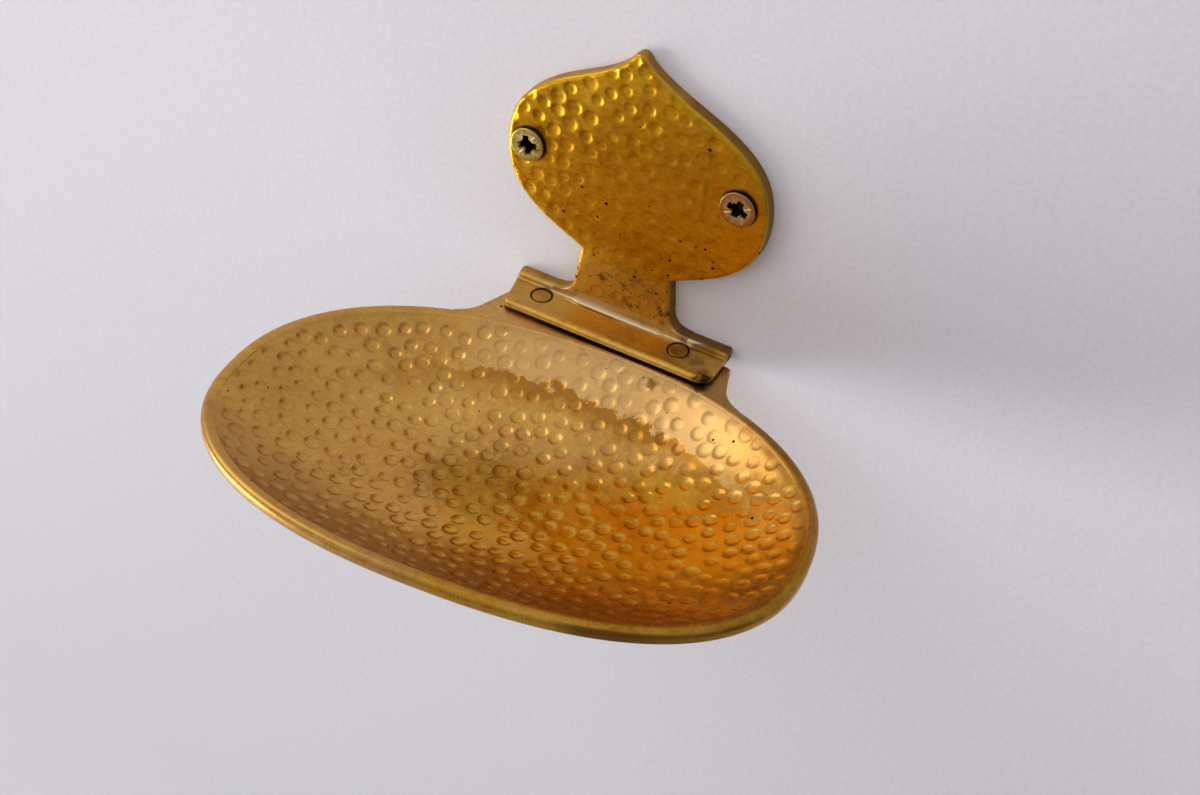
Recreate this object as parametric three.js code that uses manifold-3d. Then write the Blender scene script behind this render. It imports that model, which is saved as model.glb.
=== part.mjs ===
// Wall-mounted brass soap dish: an oval bowl riveted under the foot of a spade-shaped wall plate.
// Millimetres, +Z up. The wall is the plane y = 0 and the dish stands out along -Y.
// The origin is on the back of the plate, on the plate's centre line, level with the widest part.
import * as THREE from 'three';
import { mergeVertices } from 'three/addons/utils/BufferGeometryUtils.js';
import Module from 'manifold-3d';

const wasm = await Module();
wasm.setup();

// Clearance between pieces that touch or pass through each other
const PIECE_GAP = 0.3;

// Wall plate: leaf and neck
const PLATE_WIDTH = 62;
const PLATE_HEIGHT = 66.4;
const PLATE_THICKNESS = 3.4;
const TIP_HEIGHT = 30.1;
const TIP_OFFSET = -1.8;
const TIP_ROUND = 2.2;
const TIP_PULL_X = 10.4;
const TIP_PULL_Z = 10.8;
const SHOULDER_PULL = 18.6;
const LOBE_PULL = 14.6;
const LOBE_RUN_X = 8.2;
const LOBE_RUN_Z = 4.1;
const NECK_WIDTH = 22.2;
const NECK_FLARE = 0.9;
const NECK_TOP_DROP = 22;
const NECK_FILLET = 5;
const EDGE_EASE = 1;

// Foot: the bar across the bottom of the neck, bent out from the wall
const FOOT_LENGTH = 53.4;
const FOOT_DEPTH = 12.6;
const FOOT_THICKNESS = 1.8;
const FOOT_RIGHT_CORNER = 3.5;
const FOOT_LEFT_CORNER = 1.2;
const FOOT_LEFT_SLANT = 2.2;
const FOOT_EDGE_ROUND = 1.1;
const LEG_RISE = 1.3;
const COVE_RUN = 1.2;
const CHANNEL_DEPTH = 0.25;

// Bowl: egg-shaped plan, rounded lip, dished floor
const BOWL_LENGTH = 131;
const BOWL_WIDTH = 82.2;
const BOWL_SQUARENESS = 2.32;
const BOWL_EGG = 0.06;
const BOWL_TURN_DEG = 5.7;
const BOWL_OFFSET = 1.5;
const BOWL_BACK_FROM_WALL = 11.6;
const BOWL_DEPTH = 15;
const BOWL_WALL = 2.2;
const BOWL_FLATNESS = 2.2;
const LIP_WIDTH = 2.9;
const LIP_THICKNESS = 3.4;
const LIP_ROUND = 1.1;

// Tab: the flat tongue of the dish that goes under the foot
const TAB_WIDTH = 54;
const TAB_FLARE = 0.35;
const TAB_THICKNESS = 2.6;
const TAB_FROM_WALL = 3;
const TAB_CORNER = 1.5;
const TAB_FILLET = 3;

// Rivets through foot and tab
const RIVET_SPACING = 34.6;
const RIVET_OFFSET = -0.9;
const RIVET_FROM_WALL = 6.1;
const RIVET_HEAD_DIAMETER = 4.4;
const RIVET_HEAD_EDGE = 0.4;
const RIVET_SHANK_DIAMETER = 3;
const RIVET_PROUD = 0.1;
const RIVET_TAIL_DIAMETER = 5.2;
const RIVET_TAIL_HEIGHT = 1.2;

// Countersunk wood screws
const SCREW_LENGTH = 30;
const SCREW_HEAD_DIAMETER = 8;
const SCREW_SHANK_DIAMETER = 4;
const SCREW_HEAD_EDGE = 0.5;
const SCREW_PROUD = 1;
const SCREW_POINT = 5;
const RECESS_SPAN = 4.6;
const RECESS_SLOT = 1.3;
const RECESS_DEPTH = 1.8;
const SCREW_LEFT_FROM_EDGE = 5.5;
const SCREW_LEFT_Z = -0.2;
const SCREW_LEFT_TURN_DEG = 12;
const SCREW_RIGHT_FROM_EDGE = 6.8;
const SCREW_RIGHT_Z = 3;
const SCREW_RIGHT_TURN_DEG = -18;

// Facet counts
const BOWL_SIDES = 72;
const BOWL_RINGS = 9;
const ROUND_SIDES = 24;
const CURVE_STEPS = 14;
const ROUND_STEPS = 3;
const DOME_STEPS = 5;

// Levels and centres that follow from the sizes above
const footTop = TIP_HEIGHT - PLATE_HEIGHT;
const legTop = footTop + LEG_RISE;
const footBottom = footTop - FOOT_THICKNESS;
const rimTop = footBottom - PIECE_GAP;
const tabBottom = rimTop - TAB_THICKNESS;
const bowlCentreY = -BOWL_BACK_FROM_WALL - BOWL_WIDTH / 2;
const bowlTurn = THREE.MathUtils.degToRad(BOWL_TURN_DEG);

const brass = new THREE.MeshStandardMaterial({ color: 0xb98a34, roughness: 0.32, metalness: 1 });
const agedBrass = new THREE.MeshStandardMaterial({ color: 0x9c6f2c, roughness: 0.4, metalness: 1 });
const yellowZinc = new THREE.MeshStandardMaterial({ color: 0xb9a35a, roughness: 0.35, metalness: 1 });
const copperyZinc = new THREE.MeshStandardMaterial({ color: 0xa97a4c, roughness: 0.35, metalness: 1 });

// A closed solid from a geometry: positions only, shared vertices merged, collapsed triangles dropped
function solidOf(geometry) {
  const bare = geometry.clone();
  bare.deleteAttribute('normal');
  bare.deleteAttribute('uv');
  const merged = mergeVertices(bare, 1e-4);
  const corners = merged.index.array;
  const triangles = [];
  for (let i = 0; i < corners.length; i += 3) {
    const [a, b, c] = [corners[i], corners[i + 1], corners[i + 2]];
    if (a !== b && b !== c && c !== a) triangles.push(a, b, c);
  }
  return new wasm.Manifold(new wasm.Mesh({
    numProp: 3,
    vertProperties: new Float32Array(merged.attributes.position.array),
    triVerts: new Uint32Array(triangles),
  }));
}

function meshOf(name, solid, material) {
  const result = solid.getMesh();
  const geometry = new THREE.BufferGeometry();
  geometry.setAttribute('position', new THREE.BufferAttribute(result.vertProperties, 3));
  geometry.setIndex(new THREE.BufferAttribute(result.triVerts, 1));
  geometry.computeVertexNormals();
  const mesh = new THREE.Mesh(geometry, material);
  mesh.name = name;
  return mesh;
}

function boxSolid(width, depth, height, x, y, z) {
  return solidOf(new THREE.BoxGeometry(width, depth, height).translate(x, y, z));
}

// A turned solid about +Z from [radius, height] pairs, lowest first
function turnedSolid(profile) {
  const points = profile.map(([radius, height]) => new THREE.Vector2(radius, height));
  return solidOf(new THREE.LatheGeometry(points, ROUND_SIDES).rotateX(Math.PI / 2));
}

// Front outline of leaf and neck, drawn in X and Z and closed inside the foot
function plateOutline() {
  const half = PLATE_WIDTH / 2;
  const neck = NECK_WIDTH / 2;
  const neckFoot = neck + NECK_FLARE;
  const outer = neckFoot + NECK_FILLET;
  const inFoot = (footTop + footBottom) / 2;
  const lobeRun = LOBE_RUN_Z - NECK_TOP_DROP;
  const ogee = TIP_HEIGHT - TIP_PULL_Z;
  const tip = new THREE.Vector2(TIP_OFFSET, TIP_HEIGHT);
  const outline = new THREE.Shape();
  outline.moveTo(tip.x + TIP_ROUND, tip.y - TIP_ROUND);
  outline.bezierCurveTo(TIP_PULL_X, ogee, half, SHOULDER_PULL, half, 0);
  outline.bezierCurveTo(half, -LOBE_PULL, neck + LOBE_RUN_X, lobeRun, neck, -NECK_TOP_DROP);
  outline.lineTo(neckFoot, legTop + NECK_FILLET);
  outline.quadraticCurveTo(neckFoot, legTop, outer, legTop);
  outline.lineTo(outer, inFoot);
  outline.lineTo(-outer, inFoot);
  outline.lineTo(-outer, legTop);
  outline.quadraticCurveTo(-neckFoot, legTop, -neckFoot, legTop + NECK_FILLET);
  outline.lineTo(-neck, -NECK_TOP_DROP);
  outline.bezierCurveTo(-neck - LOBE_RUN_X, lobeRun, -half, -LOBE_PULL, -half, 0);
  outline.bezierCurveTo(-half, SHOULDER_PULL, -TIP_PULL_X, ogee, tip.x - TIP_ROUND, tip.y - TIP_ROUND);
  outline.quadraticCurveTo(tip.x, tip.y + TIP_ROUND / 2, tip.x + TIP_ROUND, tip.y - TIP_ROUND);
  return outline;
}

// Leaf and neck with an eased front edge: the easing at the back is cut off at the wall
function leafSolid() {
  const leaf = new THREE.ExtrudeGeometry(plateOutline(), {
    depth: PLATE_THICKNESS - EDGE_EASE,
    curveSegments: CURVE_STEPS,
    bevelThickness: EDGE_EASE,
    bevelSize: EDGE_EASE,
    bevelOffset: -EDGE_EASE,
    bevelSegments: 2,
  }).rotateX(Math.PI / 2);
  const span = 2 * (PLATE_WIDTH + PLATE_HEIGHT);
  return solidOf(leaf).subtract(boxSolid(span, EDGE_EASE * 4, span, 0, EDGE_EASE * 2, 0));
}

// Section of the foot in depth from the wall and height: back leg, cove, shallow channel, round front
function footSection() {
  const front = FOOT_DEPTH;
  const coveEnd = PLATE_THICKNESS + COVE_RUN;
  const channelMiddle = (coveEnd + front - FOOT_EDGE_ROUND) / 2;
  const section = new THREE.Shape();
  section.moveTo(0, footBottom);
  section.lineTo(front, footBottom);
  section.lineTo(front, footTop - FOOT_EDGE_ROUND);
  section.quadraticCurveTo(front, footTop, front - FOOT_EDGE_ROUND, footTop);
  section.quadraticCurveTo(channelMiddle, footTop - 2 * CHANNEL_DEPTH, coveEnd, footTop);
  section.quadraticCurveTo(PLATE_THICKNESS, footTop, PLATE_THICKNESS, legTop);
  section.lineTo(0, legTop);
  section.closePath();
  return section;
}

// Plan of the foot: a slanted left end with a tight corner, a square right end with a fuller one
function footPlan() {
  const half = FOOT_LENGTH / 2;
  const frontLeft = FOOT_LEFT_SLANT - half;
  const plan = new THREE.Shape();
  plan.moveTo(-half, 0);
  plan.lineTo(frontLeft, FOOT_LEFT_CORNER - FOOT_DEPTH);
  plan.quadraticCurveTo(frontLeft, -FOOT_DEPTH, frontLeft + FOOT_LEFT_CORNER, -FOOT_DEPTH);
  plan.lineTo(half - FOOT_RIGHT_CORNER, -FOOT_DEPTH);
  plan.quadraticCurveTo(half, -FOOT_DEPTH, half, FOOT_RIGHT_CORNER - FOOT_DEPTH);
  plan.lineTo(half, 0);
  plan.closePath();
  return plan;
}

function footSolid() {
  const options = { curveSegments: CURVE_STEPS / 2, bevelEnabled: false };
  const alongX = new THREE.Matrix4().makeBasis(
    new THREE.Vector3(0, -1, 0), new THREE.Vector3(0, 0, 1), new THREE.Vector3(-1, 0, 0));
  const bar = new THREE.ExtrudeGeometry(footSection(), { ...options, depth: FOOT_LENGTH + 2 * FOOT_DEPTH })
    .applyMatrix4(alongX)
    .translate(FOOT_LENGTH / 2 + FOOT_DEPTH, 0, 0);
  const height = LEG_RISE + FOOT_THICKNESS;
  const block = new THREE.ExtrudeGeometry(footPlan(), { ...options, depth: 3 * height })
    .translate(0, 0, footBottom - height);
  return solidOf(bar).intersect(solidOf(block));
}

// Rivet standing on +Z: domed tail under the tab, shank, and a countersunk head level with the channel
const rivetTop = footTop - CHANNEL_DEPTH + RIVET_PROUD;
const rivetNeck = rivetTop - RIVET_HEAD_EDGE;
const rivetCone = (RIVET_HEAD_DIAMETER - RIVET_SHANK_DIAMETER) / 2;
const rivetSeat = tabBottom - PIECE_GAP;

function rivetSolid() {
  const shank = RIVET_SHANK_DIAMETER / 2;
  const head = RIVET_HEAD_DIAMETER / 2;
  const tail = RIVET_TAIL_DIAMETER / 2;
  const dome = [];
  for (let i = 0; i < DOME_STEPS; i += 1) {
    const angle = (i / DOME_STEPS) * Math.PI / 2;
    dome.push([tail * Math.sin(angle), rivetSeat - RIVET_TAIL_HEIGHT * Math.cos(angle)]);
  }
  return turnedSolid([
    ...dome,
    [tail, rivetSeat],
    [shank, rivetSeat],
    [shank, rivetNeck - rivetCone],
    [head, rivetNeck],
    [head, rivetTop],
    [0, rivetTop],
  ]);
}

// What the rivet needs cut out of foot and tab: its shank and head with a gap all round
function rivetHole() {
  const shank = RIVET_SHANK_DIAMETER / 2 + PIECE_GAP;
  const head = RIVET_HEAD_DIAMETER / 2 + PIECE_GAP;
  const above = legTop + RIVET_HEAD_DIAMETER;
  const below = tabBottom - RIVET_TAIL_HEIGHT;
  return turnedSolid([
    [0, below],
    [shank, below],
    [shank, rivetNeck - rivetCone - PIECE_GAP],
    [head, rivetNeck - PIECE_GAP],
    [head, above],
    [0, above],
  ]);
}

// Screw along +Z, its head's top above the plate's front face, its point in the wall
const screwTop = PLATE_THICKNESS + SCREW_PROUD;
const screwNeck = screwTop - SCREW_HEAD_EDGE;
const screwCone = (SCREW_HEAD_DIAMETER - SCREW_SHANK_DIAMETER) / 2;

function screwSolid() {
  const shank = SCREW_SHANK_DIAMETER / 2;
  const head = SCREW_HEAD_DIAMETER / 2;
  const point = screwTop - SCREW_LENGTH;
  const body = turnedSolid([
    [0, point],
    [shank, point + SCREW_POINT],
    [shank, screwNeck - screwCone],
    [head, screwNeck],
    [head, screwTop],
    [0, screwTop],
  ]);
  const slotHeight = 2 * RECESS_DEPTH;
  return body
    .subtract(boxSolid(RECESS_SPAN, RECESS_SLOT, slotHeight, 0, 0, screwTop))
    .subtract(boxSolid(RECESS_SLOT, RECESS_SPAN, slotHeight, 0, 0, screwTop));
}

function screwHole() {
  const shank = SCREW_SHANK_DIAMETER / 2 + PIECE_GAP;
  const head = SCREW_HEAD_DIAMETER / 2 + PIECE_GAP;
  return turnedSolid([
    [0, -PLATE_THICKNESS],
    [shank, -PLATE_THICKNESS],
    [shank, screwNeck - screwCone - PIECE_GAP],
    [head, screwNeck - PIECE_GAP],
    [head, screwTop + PLATE_THICKNESS],
    [0, screwTop + PLATE_THICKNESS],
  ]);
}

const screws = [
  {
    name: 'screw_left',
    x: SCREW_LEFT_FROM_EDGE - PLATE_WIDTH / 2,
    z: SCREW_LEFT_Z,
    turn: SCREW_LEFT_TURN_DEG,
    finish: yellowZinc,
  },
  {
    name: 'screw_right',
    x: PLATE_WIDTH / 2 - SCREW_RIGHT_FROM_EDGE,
    z: SCREW_RIGHT_Z,
    turn: SCREW_RIGHT_TURN_DEG,
    finish: copperyZinc,
  },
];
const rivets = [
  { name: 'rivet_left', x: RIVET_OFFSET - RIVET_SPACING / 2, y: -RIVET_FROM_WALL },
  { name: 'rivet_right', x: RIVET_OFFSET + RIVET_SPACING / 2, y: -RIVET_FROM_WALL },
];

function wallPlateSolid() {
  let plate = leafSolid().add(footSolid());
  for (const rivet of rivets) plate = plate.subtract(rivetHole().translate([rivet.x, rivet.y, 0]));
  for (const screw of screws) {
    plate = plate.subtract(screwHole().rotate([90, 0, 0]).translate([screw.x, 0, screw.z]));
  }
  return plate;
}

// A point of the bowl's plan: a squared oval, wider towards the front, turned a little on the bracket
function planPoint(angle, halfLength, halfWidth) {
  const power = 2 / BOWL_SQUARENESS;
  const [c, s] = [Math.cos(angle), Math.sin(angle)];
  const across = halfLength * Math.sign(c) * Math.abs(c) ** power * (1 - BOWL_EGG * s);
  const along = halfWidth * Math.sign(s) * Math.abs(s) ** power;
  return new THREE.Vector2(across, along)
    .rotateAround(new THREE.Vector2(), bowlTurn)
    .add(new THREE.Vector2(BOWL_OFFSET, bowlCentreY));
}

function rimPoint(angle, inset) {
  return planPoint(angle, BOWL_LENGTH / 2 - inset, BOWL_WIDTH / 2 - inset);
}

// A quarter round of the lip's section as [inset, height] pairs
function quarterRound(inset, height, startDeg) {
  const points = [];
  for (let i = 0; i <= ROUND_STEPS; i += 1) {
    const angle = THREE.MathUtils.degToRad(startDeg + (90 * i) / ROUND_STEPS);
    points.push([inset - LIP_ROUND * Math.cos(angle), height + LIP_ROUND * Math.sin(angle)]);
  }
  return points;
}

// Bowl: rings from the middle of the floor, up the inside, over the lip and back under the outside
function bowlSolid() {
  const innerHalf = [BOWL_LENGTH / 2 - LIP_WIDTH, BOWL_WIDTH / 2 - LIP_WIDTH];
  const lipInside = rimTop - LIP_ROUND;
  const floorDrop = BOWL_DEPTH - LIP_ROUND;
  const floor = (share) => lipInside - floorDrop * (1 - share ** BOWL_FLATNESS);
  const rings = [];
  const addRing = (pointAt, height) => {
    const ring = [];
    for (let i = 0; i < BOWL_SIDES; i += 1) {
      const { x, y } = pointAt((2 * Math.PI * i) / BOWL_SIDES);
      ring.push([x, y, height]);
    }
    rings.push(ring);
  };
  const shares = Array.from({ length: BOWL_RINGS }, (_, i) => (i + 1) / BOWL_RINGS);
  const scaled = (share) => (angle) => planPoint(angle, innerHalf[0] * share, innerHalf[1] * share);
  for (const share of shares) addRing(scaled(share), floor(share));
  const lip = [
    [LIP_WIDTH - LIP_ROUND, rimTop],
    ...quarterRound(LIP_ROUND, rimTop - LIP_ROUND, 0).reverse(),
    ...quarterRound(LIP_ROUND, rimTop - LIP_THICKNESS + LIP_ROUND, -90).reverse(),
  ];
  for (const [inset, height] of lip) addRing((angle) => rimPoint(angle, inset), height);
  for (const share of shares.toReversed()) addRing(scaled(share), floor(share) - BOWL_WALL);

  const centre = planPoint(0, 0, 0);
  const middleOf = (height) => [centre.x, centre.y, height];
  const vertices = [middleOf(floor(0)), ...rings.flat(), middleOf(floor(0) - BOWL_WALL)];
  const triangles = [];
  const at = (ring, side) => 1 + ring * BOWL_SIDES + (side % BOWL_SIDES);
  const last = rings.length - 1;
  for (let side = 0; side < BOWL_SIDES; side += 1) {
    triangles.push(0, at(0, side), at(0, side + 1));
    for (let ring = 0; ring < last; ring += 1) {
      triangles.push(at(ring, side), at(ring + 1, side), at(ring + 1, side + 1));
      triangles.push(at(ring, side), at(ring + 1, side + 1), at(ring, side + 1));
    }
    triangles.push(at(last, side), vertices.length - 1, at(last, side + 1));
  }
  const geometry = new THREE.BufferGeometry();
  geometry.setAttribute('position', new THREE.Float32BufferAttribute(vertices.flat(), 3));
  geometry.setIndex(triangles);
  return solidOf(geometry);
}

// One side of the tab, a straight flare from its rounded back corner towards the rim
function tabSide(side, y) {
  const straight = -TAB_FROM_WALL - TAB_CORNER - y;
  return new THREE.Vector2(BOWL_OFFSET + side * (TAB_WIDTH / 2 + TAB_FLARE * straight), y);
}

// The rim angle at which that side runs into the rim, found by halving from the back to the side
function tabRootAngle(side) {
  const halvings = 30;
  let inside = Math.PI / 2;
  let outside = Math.PI / 2 - side * THREE.MathUtils.degToRad(75);
  for (let i = 0; i < halvings; i += 1) {
    const middle = (inside + outside) / 2;
    const rim = rimPoint(middle, 0);
    if (side * (rim.x - tabSide(side, rim.y).x) > 0) outside = middle;
    else inside = middle;
  }
  return inside;
}

// Tab in plan: back edge, flared sides, fillets into the rim, and a front edge inside the lip
function tabPlan() {
  const half = TAB_WIDTH / 2;
  const back = -TAB_FROM_WALL;
  const buried = LIP_ROUND / 2;
  const filletAngle = TAB_FILLET / (BOWL_WIDTH / 2);
  const [right, left] = [1, -1].map((side) => {
    const rootAngle = tabRootAngle(side);
    const root = rimPoint(rootAngle, 0);
    const start = tabSide(side, root.y + TAB_FILLET);
    return { root, start, landAngle: rootAngle - side * filletAngle };
  });
  const plan = new THREE.Shape();
  plan.moveTo(BOWL_OFFSET - half + TAB_CORNER, back);
  plan.quadraticCurveTo(BOWL_OFFSET - half, back, BOWL_OFFSET - half, back - TAB_CORNER);
  plan.lineTo(left.start.x, left.start.y);
  const leftLand = rimPoint(left.landAngle, buried);
  plan.quadraticCurveTo(left.root.x, left.root.y, leftLand.x, leftLand.y);
  for (let i = 0; i <= CURVE_STEPS; i += 1) {
    const angle = THREE.MathUtils.lerp(left.landAngle, right.landAngle, i / CURVE_STEPS);
    const point = rimPoint(angle, LIP_WIDTH / 2);
    plan.lineTo(point.x, point.y);
  }
  const rightLand = rimPoint(right.landAngle, buried);
  plan.lineTo(rightLand.x, rightLand.y);
  plan.quadraticCurveTo(right.root.x, right.root.y, right.start.x, right.start.y);
  plan.lineTo(BOWL_OFFSET + half, back - TAB_CORNER);
  plan.quadraticCurveTo(BOWL_OFFSET + half, back, BOWL_OFFSET + half - TAB_CORNER, back);
  plan.closePath();
  return plan;
}

function dishSolid() {
  const tab = new THREE.ExtrudeGeometry(tabPlan(), {
    depth: TAB_THICKNESS,
    curveSegments: CURVE_STEPS / 2,
    bevelEnabled: false,
  }).translate(0, 0, tabBottom);
  let dish = bowlSolid().add(solidOf(tab));
  for (const rivet of rivets) dish = dish.subtract(rivetHole().translate([rivet.x, rivet.y, 0]));
  return dish;
}

const soapDish = new THREE.Group();
soapDish.name = 'soap_dish';
soapDish.add(meshOf('dish', dishSolid(), brass));
soapDish.add(meshOf('wall_plate', wallPlateSolid(), brass));
for (const rivet of rivets) {
  const mesh = meshOf(rivet.name, rivetSolid(), agedBrass);
  mesh.position.set(rivet.x, rivet.y, 0);
  soapDish.add(mesh);
}
for (const screw of screws) {
  const mesh = meshOf(screw.name, screwSolid(), screw.finish);
  mesh.rotation.set(Math.PI / 2, 0, 0);
  mesh.rotateZ(THREE.MathUtils.degToRad(screw.turn));
  mesh.position.set(screw.x, 0, screw.z);
  soapDish.add(mesh);
}

export default soapDish;
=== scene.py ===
import math

import bmesh
import bpy
import numpy as np
from mathutils import Matrix, Vector, noise
from mathutils.geometry import delaunay_2d_cdt
from mathutils.kdtree import KDTree


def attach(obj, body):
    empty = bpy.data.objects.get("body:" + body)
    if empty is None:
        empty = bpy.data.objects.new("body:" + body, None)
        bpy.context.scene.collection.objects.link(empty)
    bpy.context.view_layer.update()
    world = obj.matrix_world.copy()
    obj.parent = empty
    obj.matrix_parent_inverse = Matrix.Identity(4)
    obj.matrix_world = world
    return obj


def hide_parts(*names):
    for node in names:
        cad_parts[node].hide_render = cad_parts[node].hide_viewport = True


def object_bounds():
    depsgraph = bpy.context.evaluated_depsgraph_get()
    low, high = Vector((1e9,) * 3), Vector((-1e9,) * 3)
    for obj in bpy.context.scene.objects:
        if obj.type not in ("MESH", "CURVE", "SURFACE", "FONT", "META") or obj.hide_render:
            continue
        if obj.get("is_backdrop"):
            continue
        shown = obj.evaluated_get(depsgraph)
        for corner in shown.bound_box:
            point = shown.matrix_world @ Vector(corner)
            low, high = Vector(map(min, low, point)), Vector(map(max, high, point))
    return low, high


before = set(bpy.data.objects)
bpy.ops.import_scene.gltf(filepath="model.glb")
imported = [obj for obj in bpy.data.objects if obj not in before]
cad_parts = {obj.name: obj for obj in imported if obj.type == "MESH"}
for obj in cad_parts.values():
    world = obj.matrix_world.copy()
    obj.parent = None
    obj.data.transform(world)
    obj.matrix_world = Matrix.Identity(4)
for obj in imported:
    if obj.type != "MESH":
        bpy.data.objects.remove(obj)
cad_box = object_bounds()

# Shapes and places are in millimetres, and become metres when an object or a mask is made
MM = 0.001
rng = np.random.default_rng(11)

# Wall plate
PLATE_WIDTH = 62
PLATE_THICKNESS = 3.4
TIP_HEIGHT = 30.1
TIP_OFFSET = -1.8
TIP_ROUND = 2.2
TIP_PULL_X = 10.4
TIP_PULL_Z = 10.8
SHOULDER_PULL = 18.6
LOBE_PULL = 14.6
LOBE_RUN_X = 8.2
LOBE_RUN_Z = 4.1
NECK_WIDTH = 22.2
NECK_FLARE = 0.9
NECK_TOP_DROP = 22
NECK_FILLET = 5
EDGE_EASE = 0.9
EDGE_STRAIGHT = 1.2
EDGE_FILING = 0.09
LEAF_PITCH = 0.28
LEAF_WEAR = 0.1

# Foot of the plate
FOOT_LENGTH = 53.4
FOOT_DEPTH = 12.6
FOOT_TOP = -36.3
FOOT_BOTTOM = -38.1
LEG_TOP = -35.0
LEG_EDGE = 0.8
LEG_BACK_EASE = 0.4
LEG_END_ROUND = 1.8
LEG_END_DROP = 0.7
FOOT_RIGHT_CORNER = 3.5
FOOT_LEFT_CORNER = 1.2
FOOT_LEFT_SLANT = 2.2
FOOT_CORNER_SHARE = 0.97
FOOT_END_EASE = 0.4
FOOT_BACK_EASE = 0.25
FOOT_FRONT_EASE = 0.15
FOOT_WEAR = 0.05
FOOT_STATIONS = 150
FRONT_ROUND_DEPTH = 1.7
FRONT_ROUND_HEIGHT = 1.05
FRONT_LEDGE = 0.14
COVE_RUN = 1.0
COVE_RUN_AT_ENDS = 0.5
COVE_RISE = 2.5
COVE_BURIED = 1.2
CHANNEL_DEPTH = 0.3
CHANNEL_FROM_COVE = 0.6
GROOVE_DEPTH = 0.16
GROOVE_FROM, GROOVE_MIDDLE, GROOVE_TO = 0.1, 0.28, 0.48

# Bowl, lip and tab
BOWL_LENGTH = 131
BOWL_WIDTH = 82.2
BOWL_SQUARENESS = 2.32
BOWL_EGG = 0.06
BOWL_TURN = math.radians(5.7)
BOWL_CENTRE = (1.5, -52.7)
BOWL_DEPTH = 15
BOWL_WALL = 2.2
BOWL_FLATNESS = 2.2
BOWL_LOW_PLACE = (-8, -52, -53)
RIM_TOP = -38.4
LIP_WIDTH = 2.9
LIP_THICKNESS = 3.4
LIP_ROUND = 1.1
LIP_SHOULDER = 1.4
LIP_INSET = 0.08
LIP_DROP = 0.55
LIP_CROWN = 0.45 * LIP_WIDTH
LIP_LIFT_POWER = 14
INNER_LENGTH = BOWL_LENGTH / 2 - LIP_WIDTH
INNER_WIDTH = BOWL_WIDTH / 2 - LIP_WIDTH
GRID_LONG = 440
GRID_WIDE = 290
UNDER_RINGS = 18
TAB_WIDTH = 54
TAB_FLARE = 0.35
TAB_BOTTOM = -41.0
TAB_FROM_WALL = 3
TAB_CORNER = 1.5
TAB_FILLET = 3
TAB_UNDER_LIP = 1.2
TAB_BELOW_RIM = 0.02
TAB_EASE = 0.35

# Punch marks, with the spread of their sizes as shares
BOWL_MARK_TRIES = 16000
BOWL_MARK_REACH = 0.985
BOWL_MARK_SPACING = 3.45
BOWL_MARK_RADIUS = 1.62
BOWL_MARK_DEPTH = 0.24
LEAF_MARK_TRIES = 6000
LEAF_MARK_ACROSS = (-32, 32)
LEAF_MARK_UP = (-36, 31)
LEAF_MARK_SPACING = 3.4
LEAF_MARK_RADIUS = 1.5
LEAF_MARK_DEPTH = 0.2
MARK_RADIUS_SPREAD = (0.84, 1.12)
MARK_DEPTH_SPREAD = (0.6, 1.25)
MARK_LEAN = 0.16
MARK_FLATNESS = 3.4
MARK_EDGE_AT = 0.95
MARK_EDGE_WIDTH = 0.11
MARK_EDGE_REACH = 1.25

# Waviness of a surface as depth, size and seed of each layer
BOWL_WAVES = [(0.22, 17, 1), (0.07, 6, 2)]
LEAF_WAVES = [(0.10, 14, 4), (0.04, 5, 5)]
EDGE_WAVES = [(EDGE_FILING, 7, 3)]
FOOT_WAVES = [(FOOT_WEAR, 4, 6)]

# Rivets, by where they stand across the foot
RIVETS = {"rivet_left": -18.2, "rivet_right": 16.4}
RIVET_Y = -6.1
RIVET_TOP = -36.45
RIVET_CROWN = 0.09
RIVET_EDGE = 0.18
RIVET_HEAD_RADIUS = 2.2
RIVET_SHANK_RADIUS = 1.5
RIVET_SHANK_TOP = -37.55
RIVET_TAIL_RADIUS = 2.6
RIVET_TAIL_TOP = -41.3
RIVET_TAIL_DOME = 1.2
RIVET_HOLE_RADIUS = 1.7
RIVET_SEAT_RADIUS = 2.5
RIVET_SEAT_FROM = -37.85
RIVET_SEAT_TO = -37.1

# Screws, by place across, place up and turn of the cross
SCREWS = {"screw_left": (-25.5, -0.2, 12), "screw_right": (24.2, 3.0, -18)}
SCREW_TOP = 4.4
SCREW_POINT_AT = -25.6
SCREW_TAPER = 5.0
SCREW_SIDES = 48
SCREW_HEAD_RADIUS = 4.0
SCREW_EDGE = 0.22
SCREW_CROWN = 0.03
SCREW_SHANK_RADIUS = 1.85
SCREW_CORE_RADIUS = 1.4
SCREW_HOLE_RADIUS = 2.3
SCREW_SEAT_RADIUS = 4.2
SCREW_SEAT_FROM = 1.7
SCREW_SEAT_TO = 3.55
THREAD_RADIUS = 2.0
THREAD_PITCH = 1.7
THREAD_HALF_SHARE = 0.24
THREAD_STEP = 0.11
THREAD_END = -8.0
THREAD_FADE_FROM, THREAD_FADE_TO = -8.6, -10.1

# Slots in a screw's head as length and width at the top, length and width at the bottom, and depth
CROSS_SLOT = (4.7, 1.5, 2.6, 1.0, 2.1)
STAR_SLOT = (3.2, 0.9, 1.8, 0.5, 1.4)
TICK_SLOT = (6.5, 0.3, 6.3, 0.06, 0.16)


def new_object(name, points, faces):
    mesh = bpy.data.meshes.new(name)
    mesh.from_pydata((np.asarray(points, dtype=float) * MM).tolist(), [], faces)
    mesh.update()
    shape = bmesh.new()
    shape.from_mesh(mesh)
    bmesh.ops.recalc_face_normals(shape, faces=shape.faces)
    shape.to_mesh(mesh)
    shape.free()
    obj = bpy.data.objects.new(name, mesh)
    bpy.context.scene.collection.objects.link(obj)
    return obj


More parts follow.
